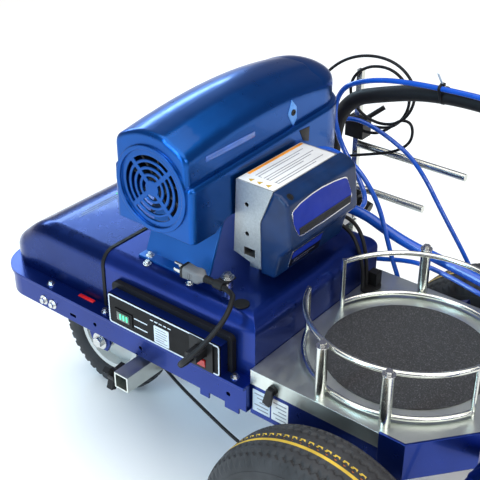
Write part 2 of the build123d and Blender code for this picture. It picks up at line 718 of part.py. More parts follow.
def crown(inset):
    """The shroud's arched upper body with its domed far end."""
    stations = [(SHROUD_NEAR + inset, 741), (-60, 758), (70, 764), (NOSE_X, CROWN_FAR)]
    body = loft([crown_section(x, top, inset) for x, top in stations])
    arch = crown_half(1, CROWN_FAR, inset)
    points = [(y - MOTOR_Y - 2, z) for y, z in arch]
    curve = Spline(points[::-1], tangents=[(1, 0), (0, -1)])
    sides = Polyline(points[0], (points[0][0], SHROUD_LOW), (0, SHROUD_LOW), points[-1])
    profile = Plane.XZ * make_face([curve, sides])
    dome = Pos(NOSE_X, MOTOR_Y + 2, 0) * revolve(profile, axis=Axis.Z)
    return body + dome


def ledge(inset):
    """The wider lower body, whose top edge stands out as a ledge along the crown."""
    half = LEDGE_HALF - inset
    near = SHROUD_NEAR + inset
    middle = (SHROUD_REAR + SHROUD_FRONT) / 2
    corner = 10 - inset
    outline = Polyline((NOSE_X - 4, middle + half), (near + corner, middle + half))
    rear = Polyline((near + corner, middle - half), (NOSE_X - 4, middle - half))
    end = Line((near, middle + half - corner), (near, middle - half + corner))
    front_turn = CenterArc((near + corner, middle + half - corner), corner, 90, 90)
    rear_turn = CenterArc((near + corner, middle - half + corner), corner, 180, 90)
    nose = CenterArc((NOSE_X - 4, middle), half, -90, 180)
    face = make_face([outline, front_turn, end, rear_turn, rear, nose])
    body = extrude(Plane.XY.offset(SHROUD_LOW) * face, 160, dir=(0, 0, 1))
    slope = [(near - 1, SHROUD_LOW - 1), (290, SHROUD_LOW - 1), (290, 689 - inset), (near - 1, 667 - inset)]
    body = body & front_prism(slope, 320, 515)
    rims = [edge for edge in body.edges() if edge.bounding_box().min.Z > 650 - inset]
    return fillet(rims, 8 - inset)


def motor_shroud():
    """The moulded shroud over motor and gearcase, with the fan grille in its near end."""
    outer = crown(0)
    near_rim = [edge for edge in outer.edges() if edge.bounding_box().max.X < SHROUD_NEAR + 0.1]
    near_rim = [edge for edge in near_rim if edge.center().Z > SHROUD_LOW + 1]
    outer = fillet(near_rim, 9) + ledge(0)
    body = outer - crown(SHROUD_WALL) - ledge(SHROUD_WALL)
    floor = [
        (-190, 500), (290, 500), (290, 588), (140, 588), (110, 600), (60, 585), (-96, 585),
        (-126, 569), (-190, 569),
    ]
    body -= front_prism(floor, 320, 515)
    rim_ring = tube((SHROUD_NEAR - 4, MOTOR_Y, MOTOR_Z), (SHROUD_NEAR + 1, MOTOR_Y, MOTOR_Z), 75, 67)
    body += rim_ring
    spokes = None
    for angle in (45, -45):
        along = (SHROUD_NEAR - 1, SHROUD_NEAR + 5)
        bar = block(along, (MOTOR_Y - 70, MOTOR_Y + 70), (MOTOR_Z - 4, MOTOR_Z + 4))
        bar = bar.rotate(Axis((0, MOTOR_Y, MOTOR_Z), (1, 0, 0)), angle)
        spokes = bar if spokes is None else spokes + bar
    for inner in (14, 26, 38, 50):
        front, back = SHROUD_NEAR - 2, SHROUD_NEAR + 4
        slot = tube((front, MOTOR_Y, MOTOR_Z), (back, MOTOR_Y, MOTOR_Z), inner + 7, inner)
        body -= slot - spokes
    return body


# Pump -------------------------------------------------------------------------------
def pump_cylinder():
    """The displacement pump: packing nut, barrel, foot valve and its inlet elbow."""
    x, y = PUMP_X, PUMP_Y
    body = rod((x, y, 500), (x, y, 522), 30)
    body += rod((x, y, 250), (x, y, 501), 22)
    body += rod((x, y, 196), (x, y, 252), 27)
    body += rod((x, y, 176), (x, y, 200), 16)
    body += swept_tube([(x, y, 186), (340, 395, 186), (340, 395, 222)], 12, [14])
    body += rod((x, y + 15, 430), (x, y + 55, 430), 8)
    body -= rod((x, y, 262), (x, y, 506), 16.05)
    return body - rod((x, y, 500), (x, y, 530), 9.06)


def pump_rod():
    """The piston rod with its connecting yoke round the eccentric."""
    x, y, z = PUMP_X, PUMP_Y, crank_z()
    body = rod((x, y, 300), (x, y, z - YOKE_BORE - 2), 9)
    body += rod((x, y, 300), (x, y, 322), 16)
    yoke = tube((x - 7, y, z), (x + 7, y, z), YOKE_BORE + 4, YOKE_BORE)
    return body + yoke


def fluid_manifold():
    """The filter block and bowl beside the pump, with its bracket and valve seat."""
    body = block((206, 262), (312, 362), (432, 506))
    body = fillet(body.edges().filter_by(Axis.Z), 6)
    body += rod((234, 337, 340), (234, 337, 433), 22)
    body += block((206, 246), (340, 370), (504, 522))
    body += rod((261, 318, 440), (292, 318, 440), 7)
    return body + rod((222, 313, 479), (222, 300, 479), 11)


def prime_valve():
    """The prime and drain valve's handle on the manifold's right face."""
    body = rod((262.3, 337, 478), (276, 337, 478), 9)
    body += side_prism([(330, 474), (344, 474), (346, 449), (328, 449)], 270, 277)
    return body


def hose_fittings():
    """Hexagon nipples where the hoses end on the frame, and the rear outlet block."""
    nipple = extrude(Plane.XY.offset(FLANGE_TOP) * Pos(203, 272) * RegularPolygon(8, 6), 12)
    block_low = block((SIDE_HALF, 219), (150, 180), (306, 336))
    block_low += extrude(Plane.XY.offset(335) * Pos(204, 168) * RegularPolygon(7, 6), 10)
    outlet = block((194.5, 236), (-112, -80), (400, 446))
    foot = block((194.5, 202), (-112, -84), (372, 402))
    tie = tube((220, 126, 445.16), (220, 132, 445.84), 12, 10.2)
    return group(nipple, block_low, outlet + foot, tie)


def suction_strainer():
    """The stiff suction tube with its strainer cup, hanging on the handlebar's hook."""
    x, y = 200, -330
    body = rod((x, y, 262), (x, y, 500), 12)
    cup = rod((x, y, 200), (x, y, 264), 30) - rod((x, y, 190), (x, y, 258), 27)
    return body + cup


# Control box ------------------------------------------------------------------------
CONTROL_NEAR = -80.0
CONTROL_FAR = 98.0


def control_housing():
    """The plated control housing with its mounting feet and side openings."""
    outline = [(331, 516), (326, 652), (251, 652), (276, 588), (273, 500)]
    inner = [(328, 519), (323, 649.5), (254, 649.5), (279, 589), (276, 504)]
    body = side_prism(outline, CONTROL_NEAR, CONTROL_FAR)
    body -= side_prism(inner, CONTROL_NEAR + 2, CONTROL_FAR - 2)
    for y, z in ((304, 612), (303, 558)):
        body -= rod((CONTROL_NEAR - 1, y, z), (CONTROL_NEAR + 4, y, z), 4)
    body -= block((CONTROL_NEAR - 1, CONTROL_NEAR + 4), (286, 309), (517, 532))
    for x in (-50, 50):
        body += block((x, x + 20), (300, 320), (DECK_TOP, 514))
    return body


def control_cover():
    """The moulded front cover of the control box, hollow behind, with softened edges."""
    outline = [
        (250.5, 652), (236, 650.5), (219.5, 640), (211.5, 562), (231, 540), (243, 494), (272.5, 494),
        (275.5, 588),
    ]
    inner = [
        (248, 648.5), (237, 647.2), (222.3, 638), (214.8, 563.4), (233.6, 541.8), (245.4, 497),
        (269.6, 497), (272.4, 587.6),
    ]
    bends = [0.5, 9, 12, 12, 9, 8, 0.5, 0.5]
    plane = Plane(origin=(CONTROL_NEAR - 4, 0, 0), x_dir=(0, 1, 0), z_dir=(1, 0, 0))
    face = make_face(plane * FilletPolyline(outline, radius=bends, close=True))
    body = extrude(face, CONTROL_FAR + 14 - CONTROL_NEAR + 4, dir=(1, 0, 0))
    ends = [e for e in body.edges() if e.bounding_box().max.X - e.bounding_box().min.X < 0.1]
    ends = [e for e in ends if e.center().Y < 248]
    body = fillet(ends, 7)
    return body - side_prism(inner, CONTROL_NEAR - 1, CONTROL_FAR + 11)


def pressure_knob():
    """The pressure dial on the control cover's right end."""
    dial = rod((CONTROL_FAR + 14.3, 246, 600), (CONTROL_FAR + 32, 246, 600), 17)
    return dial - block((CONTROL_FAR + 28, CONTROL_FAR + 33), (244.5, 247.5), (600, 618))


# Gun arm ----------------------------------------------------------------------------
def receiver_tube():
    """The square tube across the chassis that the gun arm slides in."""
    y, z, half = RECEIVER_Y, RECEIVER_Z, RECEIVER_HALF
    body = block((-252, 235), (y - half, y + half), (z - half, z + half))
    body -= block((-253, 236), (y - half + 3, y + half - 3), (z - half + 3, z + half - 3))
    return body + rod((-238, y + half - 1, z - 6), (-238, y + half + 6, z - 6), 8)


def receiver_knob():
    """The three-lobed clamp knob on the receiver's front face."""
    y = RECEIVER_Y + RECEIVER_HALF + 6.2
    z = RECEIVER_Z - 6
    body = rod((-238, y, z), (-238, y + 16, z), 11)
    for index in range(3):
        lobe = block((-243.5, -232.5), (y + 3, y + 16), (z - 27, z))
        body += lobe.rotate(Axis((-238, y, z), (0, 1, 0)), 120 * index + 20)
    return body


def gun_arm():
    """The sliding bar, its end plate, the upright post and the two guide bars."""
    y, z = RECEIVER_Y, RECEIVER_Z
    body = block((20, GUN_X - 6), (y - 12.7, y + 12.7), (z - 12.7, z + 12.7))
    body += block((GUN_X - 8, GUN_X + 6), (POST_Y - 9, y + 16), (255, 330))
    body += block((GUN_X - 6, GUN_X + 6), (POST_Y - 6, POST_Y + 6), (330, 668))
    body += rod((GUN_X, POST_Y - 4, 507), (GUN_X, 163, 507), 7.5)
    body += rod((GUN_X, POST_Y - 4, 409), (GUN_X, 247, 409), 7.5)
    return body


def gun_clamps():
    """The moulded clamps with their levers on the post and the bars' knob."""
    body = block((GUN_X - 16, GUN_X + 16), (POST_Y - 22, POST_Y + 20), (526, 566))
    body += rod((GUN_X, POST_Y - 10, 560), (GUN_X + 26, POST_Y - 44, 590), 5)
    lower = block((GUN_X - 15, GUN_X + 15), (POST_Y - 20, POST_Y + 18), (366, 398))
    lower += rod((GUN_X - 2, POST_Y - 19, 376), (GUN_X - 2, POST_Y - 44, 370), 12)
    post = block((GUN_X - 6, GUN_X + 6), (POST_Y - 6, POST_Y + 6), (340, 600))
    return group(body - post, lower - post)


def spray_gun():
    """The airless gun under the arm, nozzle down, with its holder plate."""
    x, y = GUN_X, 372
    body = block((x - 14, x + 14), (y - 16, y + 16), (160, 262))
    body = fillet(body.edges().filter_by(Axis.Z), 5)
    for low, high in ((361, 365.6), (378.4, 383)):
        body += block((x - 27, x - 12), (low, high), (236, 252))
    body += block((x - 5, x + 5), (y + 14, POST_Y - 9), (262 - 30, 262 + 10))
    body += rod((x, y, 122), (x, y, 161), 10)
    body += rod((x - 16, y, 128), (x + 16, y, 128), 6)
    body += rod((x, y - 15, 205), (x, y - 34, 205), 7)
    return body + rod((x, y, 261), (x, y, 284), 8)


def gun_trigger():
    """The gun's trigger on its left side."""
    x = GUN_X
    return front_prism([(x - 15, 246), (x - 24, 246), (x - 38, 176), (x - 30, 176)], 366, 378)


# Handlebar --------------------------------------------------------------------------
def handle_path(side):
    """Corner points of one handle tube, from its socket to its grip's end."""
    y, z = HANDLE_FOOT
    return [
        (side * HANDLE_X, y - 15, z + 20), (side * HANDLE_X, y - 252, z + 336),
        (side * 232, y - 402, z + 536), (side * 232, y - 572, z + 580),
    ]


def handlebar():
    """Two bent tubes joined by two cross tubes."""
    body = swept_tube(handle_path(-1), 14, [90, 70]) + swept_tube(handle_path(1), 14, [90, 70])
    y, z = HANDLE_FOOT
    body += rod((-HANDLE_X, y - 190, z + 253), (HANDLE_X, y - 190, z + 253), 12)
    body += rod((-206, y - 355, z + 473), (206, y - 355, z + 473), 12)
    return body + lever_brackets()


def grip_line(side, share):
    """A point on the straight grip stretch of one handle tube."""
    a, b = handle_path(side)[-2:]
    return tuple(p + (q - p) * share for p, q in zip(a, b))


def hand_grips():
    """The two rubber grips."""
    pieces = []
    for side in (-1, 1):
        start, end = grip_line(side, 0.40), grip_line(side, 1.03)
        body = rod(start, end, 18)
        pieces.append(body - rod(grip_line(side, 0.30), grip_line(side, 1.0), 14.0))
    return group(*pieces)


LEVER_DROP = 26.0


def lever(side):
    """A hand lever under one grip, on the pivot of its clamp."""
    a, b = Vector(*grip_line(side, 0.30)), Vector(*grip_line(side, 0.95))
    down = Vector(0, 0, -LEVER_DROP)
    corner = tuple(a + down + Vector(-6, 0, 0))
    plane = Plane(origin=corner, x_dir=tuple((b - a).normalized()), z_dir=(1, 0, 0))
    reach = (b - a).length
    blade = make_face(plane * Polyline((-8, -4), (8, -4), (reach * 0.5, 8), (reach, 14), (reach, 22),
                                       (reach * 0.5, 17), (-8, 6), close=True))
    x, y, z = tuple(a + down)
    return extrude(blade, 12, dir=(1, 0, 0)) - rod((x - 7, y, z), (x + 7, y, z), 2.6)


def lever_brackets():
    """The brackets that hold both levers' pivots on the handle tubes."""
    pieces = None
    for side in (-1, 1):
        ring = rod(grip_line(side, 0.24), grip_line(side, 0.38), 19)
        pivot = Vector(*grip_line(side, 0.30)) + Vector(0, 0, -LEVER_DROP)
        for ear in (-1, 1):
            x = side * 232 + ear * 9
            ring += block((x - 2.4, x + 2.4), (pivot.Y - 9, pivot.Y + 9), (pivot.Z - 8, pivot.Z + 14))
        x, y, z = side * 232, pivot.Y, pivot.Z
        ring += rod((x - 10, y, z), (x + 10, y, z), 2.5)
        pieces = ring if pieces is None else pieces + ring
    return pieces


# Cords and hoses --------------------------------------------------------------------
POWER_CORD = [
    (-248, 293, 402), (-262, 293, 402), (-270, 283, 414), (-263, 265, 436), (-244, 248, 462),
    (-216, 239, 488), (-188, 246, 503), (-160, 268, 501), (-160, 324, 501),
]
SUCTION_HOSE = [
    (340, 395, 222), (340, 395, 292), (343, 404, 368), (347, 418, 446), (350, 426, 522), (350, 416, 592),
    (346, 378, 641), (342, 317, 664), (341, 245, 687), (338, 170, 699), (332, 92, 703), (322, 8, 703),
    (308, -78, 704), (290, -158, 706), (266, -228, 698), (240, -286, 668), (215, -322, 618),
    (200, -330, 556), (200, -330, 500),
]
DRAIN_HOSE = [
    (292, 318, 440), (314, 318, 440), (328, 332, 462), (326, 362, 508), (323, 396, 560), (323, 410, 616),
    (324, 394, 664), (323, 352, 688), (322, 297, 704), (321, 238, 712), (319, 178, 717), (315, 118, 721),
    (309, 58, 722),
    (302, -2, 722), (294, -62, 723), (287, -122, 727), (279, -180, 726), (270, -236, 718),
    (258, -288, 696), (246, -330, 658), (238, -354, 606), (234, -358, 550), (231, -350, 496),
]
PAINT_HOSE = [
    (222, 300, 479), (222, 264, 479), (221, 218, 463), (220, 160, 449), (220, 98, 442), (221, 34, 433),
    (218, -28, 423), (218, -80, 423),
]
TIED_HOSE = [
    (203, 272, 377), (203, 272, 389), (203, 250, 399), (204, 214, 408), (205, 170, 422), (205, 132, 430),
    (204, 92, 429), (204, 52, 423), (203, 12, 416), (206, -28, 409), (206, -80, 409),
]
SENSOR_HOSE = [
    (98, 312, 634), (124, 312, 634), (152, 306, 626), (176, 289, 609), (186, 265, 588), (193, 240, 556),
    (198, 218, 515), (201, 203, 466), (203, 186, 416), (204, 168, 376), (204, 168, 345),
]
GUN_HOSE = [
    (280, 450, 430), (280, 474, 430), (304, 494, 446), (336, 495, 482), (364, 478, 524), (383, 449, 559),
    (390, 408, 576), (391, 362, 570), (391, 316, 554), (390, 270, 532), (390, 232, 494), (390, 202, 452),
    (391, 168, 406), (393, 133, 358), (398, 103, 306), (405, 96, 250), (412, 122, 206), (417, 172, 184),
    (419, 226, 186), (420, 280, 205), (420, 338, 205),
]
GUN_LEAD = [
    (184, 520, 440), (214, 522, 452), (262, 520, 480), (318, 515, 530), (366, 505, 590), (392, 484, 648),
    (400, 440, 690), (401, 382, 711), (400, 324, 709), (400, 284, 680), (400, 276, 636), (400, 300, 592),
    (402, 346, 572), (405, 396, 580), (406, 428, 612), (406, 424, 655), (406, 388, 686), (407, 338, 692),
    (407, 300, 668), (407, 290, 628), (407, 308, 586), (409, 346, 560), (409, 391, 560),
]
SHORT_LEAD = [
    (410, 391, 544), (410, 366, 544), (416, 340, 560), (422, 318, 586), (420, 288, 586), (416, 284, 548),
    (412, 318, 518), (406, 376, 498),
    (399, 434, 480), (395, 470, 440), (391, 478, 380), (392, 462, 320), (398, 420, 292), (404, 384, 286),
]
BOX_LEADS = [
    [(112, 260, 506), (122, 260, 506), (126, 244, 500), (122, 222, 490), (117, 205, 466), (113, 192, 432),
     (113, 192, 398)],
    [(112, 262, 520), (128, 262, 520), (136, 242, 514), (134, 220, 502), (130, 204, 476), (124, 192, 436),
     (124, 192, 398)],
]


def handle_lead(side, low):
    """One handle cable, from its lever's clamp down the handle tube to low."""
    y, z = HANDLE_FOOT
    x = side * (HANDLE_X + 22)
    return [
        (side * 250, y - 448, z + 526), (side * 250, y - 420, z + 500), (side * 236, y - 375, z + 452),
        (side * 200, y - 318, z + 385), (side * 178, y - 262, z + 318), (x, y - 200, z + 245),
        (x, y - 140, z + 168), (x, y - 84, z + 92), *low,
    ]


LEFT_LEAD_LOW = [
    (-178, -228, 382), (-192, -196, 332), (-203, -152, 282), (-206, -96, 248), (-206, -34, 233),
    (-206, 34, 225), (-205, 100, 221), (-200, 168, 222), (-192, 240, 229), (-182, 318, 247),
    (-166, 400, 260), (-140, 484, 276), (-104, 556, 290), (-60, 612, 299), (-20, 648, 302),
    (0, 676, 302), (0, 694, 302),
]
RIGHT_LEAD_LOW = [
    (172, -222, 380), (168, -196, 330), (160, -160, 306), (150, -112, 306), (150, -60, 318), (150, -20, 330),
]


# Assembly ---------------------------------------------------------------------------
def rigid_parts():
    """Every sub-part but the loose cords and what is on them."""
    return {
        "chassis_frame": chassis_frame(),
        "rear_axle": rear_axle(),
        "hex_bolts": hex_bolts(),
        "pail_tray": pail_tray(),
        "pail_ring": pail_ring(),
        "grip_pad": grip_pad(),
        "tray_latch": tray_latch(),
        "deck_cover": deck_cover(),
        "hood": hood(),
        "body_seals": body_seals(),
        "panel_face": panel_face(),
        "power_inlet": power_inlet(),
        "power_switch": power_switch(),
        "cable_clips": cable_clips(),
        "batteries": batteries(),
        "charger": charger(),
        "motor_cradle": motor_cradle(),
        "motor_can": motor_can(),
        "motor_shroud": motor_shroud(),
        "motor_rotor": motor_rotor(),
        "drive_housing": drive_housing(),
        "crank_gear": crank_gear(),
        "pump_cylinder": pump_cylinder(),
        "pump_rod": pump_rod(),
        "fluid_manifold": fluid_manifold(),
        "prime_valve": prime_valve(),
        "hose_fittings": hose_fittings(),
        "suction_strainer": suction_strainer(),
        "control_housing": control_housing(),
        "control_cover": control_cover(),
        "pressure_knob": pressure_knob(),
        "receiver_tube": receiver_tube(),
        "receiver_knob": receiver_knob(),
        "gun_arm": gun_arm(),
        "gun_clamps": gun_clamps(),
        "spray_gun": spray_gun(),
        "gun_trigger": gun_trigger(),
        "handlebar": handlebar(),
        "hand_grips": hand_grips(),
        "left_lever": lever(-1),
        "right_lever": lever(1),
        "left_tyre": tyre(LEFT_WHEEL_X, 0, TYRE_RADIUS, TYRE_RADIUS, TYRE_WIDTH, RIM_RADIUS, 9),
        "left_rim": rear_rim(LEFT_WHEEL_X),
        "right_tyre": tyre(RIGHT_WHEEL_X, 0, TYRE_RADIUS, TYRE_RADIUS, TYRE_WIDTH, RIM_RADIUS, 9),
        "right_rim": rear_rim(RIGHT_WHEEL_X),
        "caster_fork": caster_fork(),
        "caster_tyre": tyre(0, CASTER_WHEEL_Y, CASTER_RADIUS, CASTER_RADIUS, CASTER_WIDTH, 74, 7),
        "caster_rim": caster_rim(),
        "caster_axle": caster_axle(),
        "lock_pin": lock_pin(),
    }


def cord_parts():
    """The cords, hoses and leads, and the two ends of the mains lead."""
    return {
        "power_cord": cord("power_cord", POWER_CORD, 9),
        "inlet_connector": inlet_connector(),
        "mains_plug": mains_plug(),
        "suction_hose": cord("suction_hose", SUCTION_HOSE, 30),
        "drain_hose": cord("drain_hose", DRAIN_HOSE, 10),
        "paint_hose": cord("paint_hose", PAINT_HOSE, 20),
        "blue_hoses": group(cord("tied_hose", TIED_HOSE, 9), cord("sensor_hose", SENSOR_HOSE, 9)),
        "gun_hose": cord("gun_hose", GUN_HOSE, 9),
    }


def lead_parts():
    """The black leads and cables that are held along their route."""
    leads = [cord("box_lead", route, 7) for route in BOX_LEADS]
    leads.append(cord("lock_cable", handle_lead(-1, LEFT_LEAD_LOW), 6))
    leads.append(cord("spray_cable", handle_lead(1, RIGHT_LEAD_LOW), 6))
    return group(*leads)


def gun_lead_parts():
    return group(cord("gun_lead", GUN_LEAD, 6), cord("short_lead", SHORT_LEAD, 6))


def main():
    os.makedirs("parts", exist_ok=True)
    rigid = rigid_parts()
    cords = cord_parts()
    cords["control_leads"] = lead_parts()
    cords["gun_leads"] = gun_lead_parts()
    boxes = [shape.bounding_box() for shape in rigid.values()]
    low = [min(tuple(box.min)[i] for box in boxes) for i in range(3)]
    high = [max(tuple(box.max)[i] for box in boxes) for i in range(3)]
    shift = (-(low[0] + high[0]) / 2, -(low[1] + high[1]) / 2, -low[2])
    print("size", [b - a for a, b in zip(low, high)], "shift", shift)
    for node, shape in {**rigid, **cords}.items():
        export_step(Pos(*shift) * shape, f"parts/{node}.step")
    return shift


SHIFT = main()
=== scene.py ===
"""Looks of the line striping machine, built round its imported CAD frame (Blender 4.5)."""

import math

import bmesh
import bpy
from mathutils import Matrix, Vector


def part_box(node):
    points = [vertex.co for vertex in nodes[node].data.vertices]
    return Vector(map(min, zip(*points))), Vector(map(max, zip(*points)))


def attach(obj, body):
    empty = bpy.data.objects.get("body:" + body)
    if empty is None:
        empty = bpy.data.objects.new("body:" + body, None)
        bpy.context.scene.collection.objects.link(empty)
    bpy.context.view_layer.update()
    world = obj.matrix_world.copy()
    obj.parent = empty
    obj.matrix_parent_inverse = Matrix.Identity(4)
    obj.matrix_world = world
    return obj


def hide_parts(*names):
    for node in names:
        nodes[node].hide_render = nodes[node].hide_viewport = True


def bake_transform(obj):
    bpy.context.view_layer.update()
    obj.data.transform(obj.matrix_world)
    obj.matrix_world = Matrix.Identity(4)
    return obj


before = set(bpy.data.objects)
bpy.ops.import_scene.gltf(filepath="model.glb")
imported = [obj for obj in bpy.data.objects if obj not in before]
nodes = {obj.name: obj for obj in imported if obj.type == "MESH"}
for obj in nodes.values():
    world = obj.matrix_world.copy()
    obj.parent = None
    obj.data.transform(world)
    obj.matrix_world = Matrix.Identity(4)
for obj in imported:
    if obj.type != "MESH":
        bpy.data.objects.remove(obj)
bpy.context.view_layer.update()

# The machine's own origin: on the ground under the rear axle's centre -----------------
TYRE_RADIUS = 203.0
LEFT_WHEEL_X = -284.0
RIGHT_WHEEL_X = 305.0
tyre_low, tyre_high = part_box("left_tyre")
tyre_mid = (tyre_low + tyre_high) / 2
ORIGIN = tyre_mid - Vector((LEFT_WHEEL_X, 0, TYRE_RADIUS)) / 1000


def at(x, y, z):
    """A point in machine millimetres as a row-frame point in metres."""
    return ORIGIN + Vector((x, y, z)) / 1000


# Materials --------------------------------------------------------------------------
EDGE = 0.0008  # radius in metres that shading gives a plain edge
SHEET = 0.003  # the same for the round edges of a pressed sheet
FINE = 0.0004  # depth in metres of a fine surface grain
SHARP_ANGLE = 35  # degrees from which an edge of a built piece stays sharp
CAD_SHARP_ANGLE = 32  # the same for the CAD nodes
CORD_SHARP_ANGLE = 60


def node_material(name):
    """A new material with its tree and its main shader."""
    material = bpy.data.materials.new(name)
    material.use_nodes = True
    tree = material.node_tree
    shader = tree.nodes["Principled BSDF"]
    return material, tree, shader


def add(tree, kind, **inputs):
    """A shader node with some of its inputs set by name."""
    node = tree.nodes.new(kind)
    for key, value in inputs.items():
        key = key.replace("_", " ")
        if key in node.inputs:
            node.inputs[key].default_value = value
    return node


def coordinates(tree, scale=(1, 1, 1)):
    """Object coordinates in metres, stretched by scale."""
    place = tree.nodes.new("ShaderNodeTexCoord")
    mapping = tree.nodes.new("ShaderNodeMapping")
    mapping.inputs["Scale"].default_value = scale
    tree.links.new(place.outputs["Object"], mapping.inputs["Vector"])
    return mapping.outputs["Vector"]


def ramp(tree, value, stops):
    """A colour ramp over value; stops are (position, colour)."""
    node = tree.nodes.new("ShaderNodeValToRGB")
    elements = node.color_ramp.elements
    while len(elements) < len(stops):
        elements.new(0.5)
    for element, (position, colour) in zip(elements, stops):
        element.position = position
        element.color = (*colour, 1) if len(colour) == 3 else colour
    tree.links.new(value, node.inputs["Fac"])
    return node.outputs["Color"]


def noise(tree, scale, detail=4.0, rough=0.5, vector=None):
    """Fractal noise over object coordinates, or over the vector given."""
    node = add(tree, "ShaderNodeTexNoise", Scale=scale, Detail=detail, Roughness=rough)
    tree.links.new(vector if vector is not None else coordinates(tree), node.inputs["Vector"])
    return node.outputs["Fac"]


def bump(tree, shader, height, strength, distance, under=None):
    """Bumps the shader's surface by height, on top of the normals under it."""
    node = add(tree, "ShaderNodeBump", Strength=strength, Distance=distance)
    tree.links.new(height, node.inputs["Height"])
    if under is not None:
        tree.links.new(under, node.inputs["Normal"])
    tree.links.new(node.outputs["Normal"], shader.inputs["Normal"])
    return node.outputs["Normal"]


def soft_edges(tree, radius):
    """Shading normals that round each edge off by radius metres."""
    node = tree.nodes.new("ShaderNodeBevel")
    node.samples = 4
    node.inputs["Radius"].default_value = radius
    return node.outputs["Normal"]


def paint(name, dark, light, metallic=0.8, rough=0.3, coat=1.0, edge=0.0015):
    """Coated metallic paint with a fine flake, slight colour drift and rounded edges."""
    material, tree, shader = node_material(name)
    colour = ramp(tree, noise(tree, 9, 3), [(0.3, dark), (0.7, light)])
    tree.links.new(colour, shader.inputs["Base Color"])
    shader.inputs["Metallic"].default_value = metallic
    roughness = ramp(tree, noise(tree, 40, 5), [(0.3, (rough - 0.03,) * 3), (0.75, (rough + 0.05,) * 3)])
    tree.links.new(roughness, shader.inputs["Roughness"])
    shader.inputs["Coat Weight"].default_value = coat
    shader.inputs["Coat Roughness"].default_value = 0.04
    under = soft_edges(tree, edge)
    bump(tree, shader, noise(tree, 1400, 2, 0.6), 0.03, FINE, under)
    tree.links.new(under, shader.inputs["Coat Normal"])
    return material


def plastic(name, colour, rough=0.45, grain=900.0, strength=0.15, edge=EDGE, spread=0.25, coat=0.0,
            shine=0.3):
    """Moulded plastic or rubber with a fine grain and slightly uneven gloss."""
    material, tree, shader = node_material(name)
    shader.inputs["Specular IOR Level"].default_value = shine
    low = tuple(c * (1 - spread) for c in colour)
    high = tuple(min(1, c * (1 + spread)) for c in colour)
    tree.links.new(ramp(tree, noise(tree, 25, 5), [(0.3, low), (0.7, high)]), shader.inputs["Base Color"])
    roughness = ramp(tree, noise(tree, 60, 4), [(0.3, (rough - 0.06,) * 3), (0.7, (rough + 0.08,) * 3)])
    tree.links.new(roughness, shader.inputs["Roughness"])
    shader.inputs["Coat Weight"].default_value = coat
    bump(tree, shader, noise(tree, grain, 3, 0.6), strength, FINE, soft_edges(tree, edge))
    return material


def metal(name, dark, light, rough=0.25, scale=(1, 1, 1), grain=60.0, strength=0.05):
    """Bare or plated metal with a drifting tint, fine scratches along one way, and rounded edges."""
    material, tree, shader = node_material(name)
    shader.inputs["Metallic"].default_value = 1.0
    tint = ramp(tree, noise(tree, 14, 6, 0.6), [(0.3, dark), (0.7, light)])
    tree.links.new(tint, shader.inputs["Base Color"])
    streaks = noise(tree, grain, 6, 0.7, coordinates(tree, scale))
    roughness = ramp(tree, streaks, [(0.3, (max(0.03, rough - 0.07),) * 3), (0.7, (rough + 0.08,) * 3)])
    tree.links.new(roughness, shader.inputs["Roughness"])
    bump(tree, shader, streaks, strength, 0.0006, soft_edges(tree, EDGE))
    return material


def galvanised(name, dark, light, rough=0.42):
    """Hot-dip zinc with its crystal spangle."""
    material, tree, shader = node_material(name)
    shader.inputs["Metallic"].default_value = 0.85
    cells = add(tree, "ShaderNodeTexVoronoi", Scale=420.0, Randomness=1.0)
    tree.links.new(coordinates(tree), cells.inputs["Vector"])
    mix = tree.nodes.new("ShaderNodeMix")
    mix.data_type = "RGBA"
    mix.inputs["Factor"].default_value = 0.5
    tree.links.new(ramp(tree, cells.outputs["Color"], [(0.2, dark), (0.8, light)]), mix.inputs[6])
    tree.links.new(ramp(tree, noise(tree, 260, 5, 0.7), [(0.35, dark), (0.65, light)]), mix.inputs[7])
    tree.links.new(mix.outputs[2], shader.inputs["Base Color"])
    tree.links.new(
        ramp(tree, cells.outputs["Color"], [(0.0, (rough - 0.1,) * 3), (1.0, (rough + 0.12,) * 3)]),
        shader.inputs["Roughness"],
    )
    bump(tree, shader, noise(tree, 600, 4, 0.6), 0.12, FINE, soft_edges(tree, EDGE))
    return material


def grit(name):
    """Black anti-slip abrasive: coarse bonded grains of varied tone, the lightest of them painted glints of
    their facets.
    """
    material, tree, shader = node_material(name)
    cells = add(tree, "ShaderNodeTexVoronoi", Scale=900.0, Randomness=1.0)
    tree.links.new(coordinates(tree), cells.inputs["Vector"])
    # darker stops are the grains' own tone; the light-grey last stop is a painted glint on a few facets
    grains_and_glints = [(0.0, (0.012, 0.012, 0.013)), (0.72, (0.03, 0.03, 0.032)), (0.95, (0.16, 0.16, 0.17))]
    colour = ramp(tree, cells.outputs["Color"], grains_and_glints)
    tree.links.new(colour, shader.inputs["Base Color"])
    shader.inputs["Roughness"].default_value = 0.62
    bump(tree, shader, cells.outputs["Distance"], 0.9, 0.0011)
    return material


def glowing(name, colour, strength):
    """A lit surface with a slight mottle."""
    material, tree, shader = node_material(name)
    shader.inputs["Base Color"].default_value = (*[c * 0.3 for c in colour], 1)
    tint = ramp(tree, noise(tree, 300, 2), [(0.0, tuple(c * 0.85 for c in colour)), (1.0, colour)])
    tree.links.new(tint, shader.inputs["Emission Color"])
    shader.inputs["Emission Strength"].default_value = strength
    return material


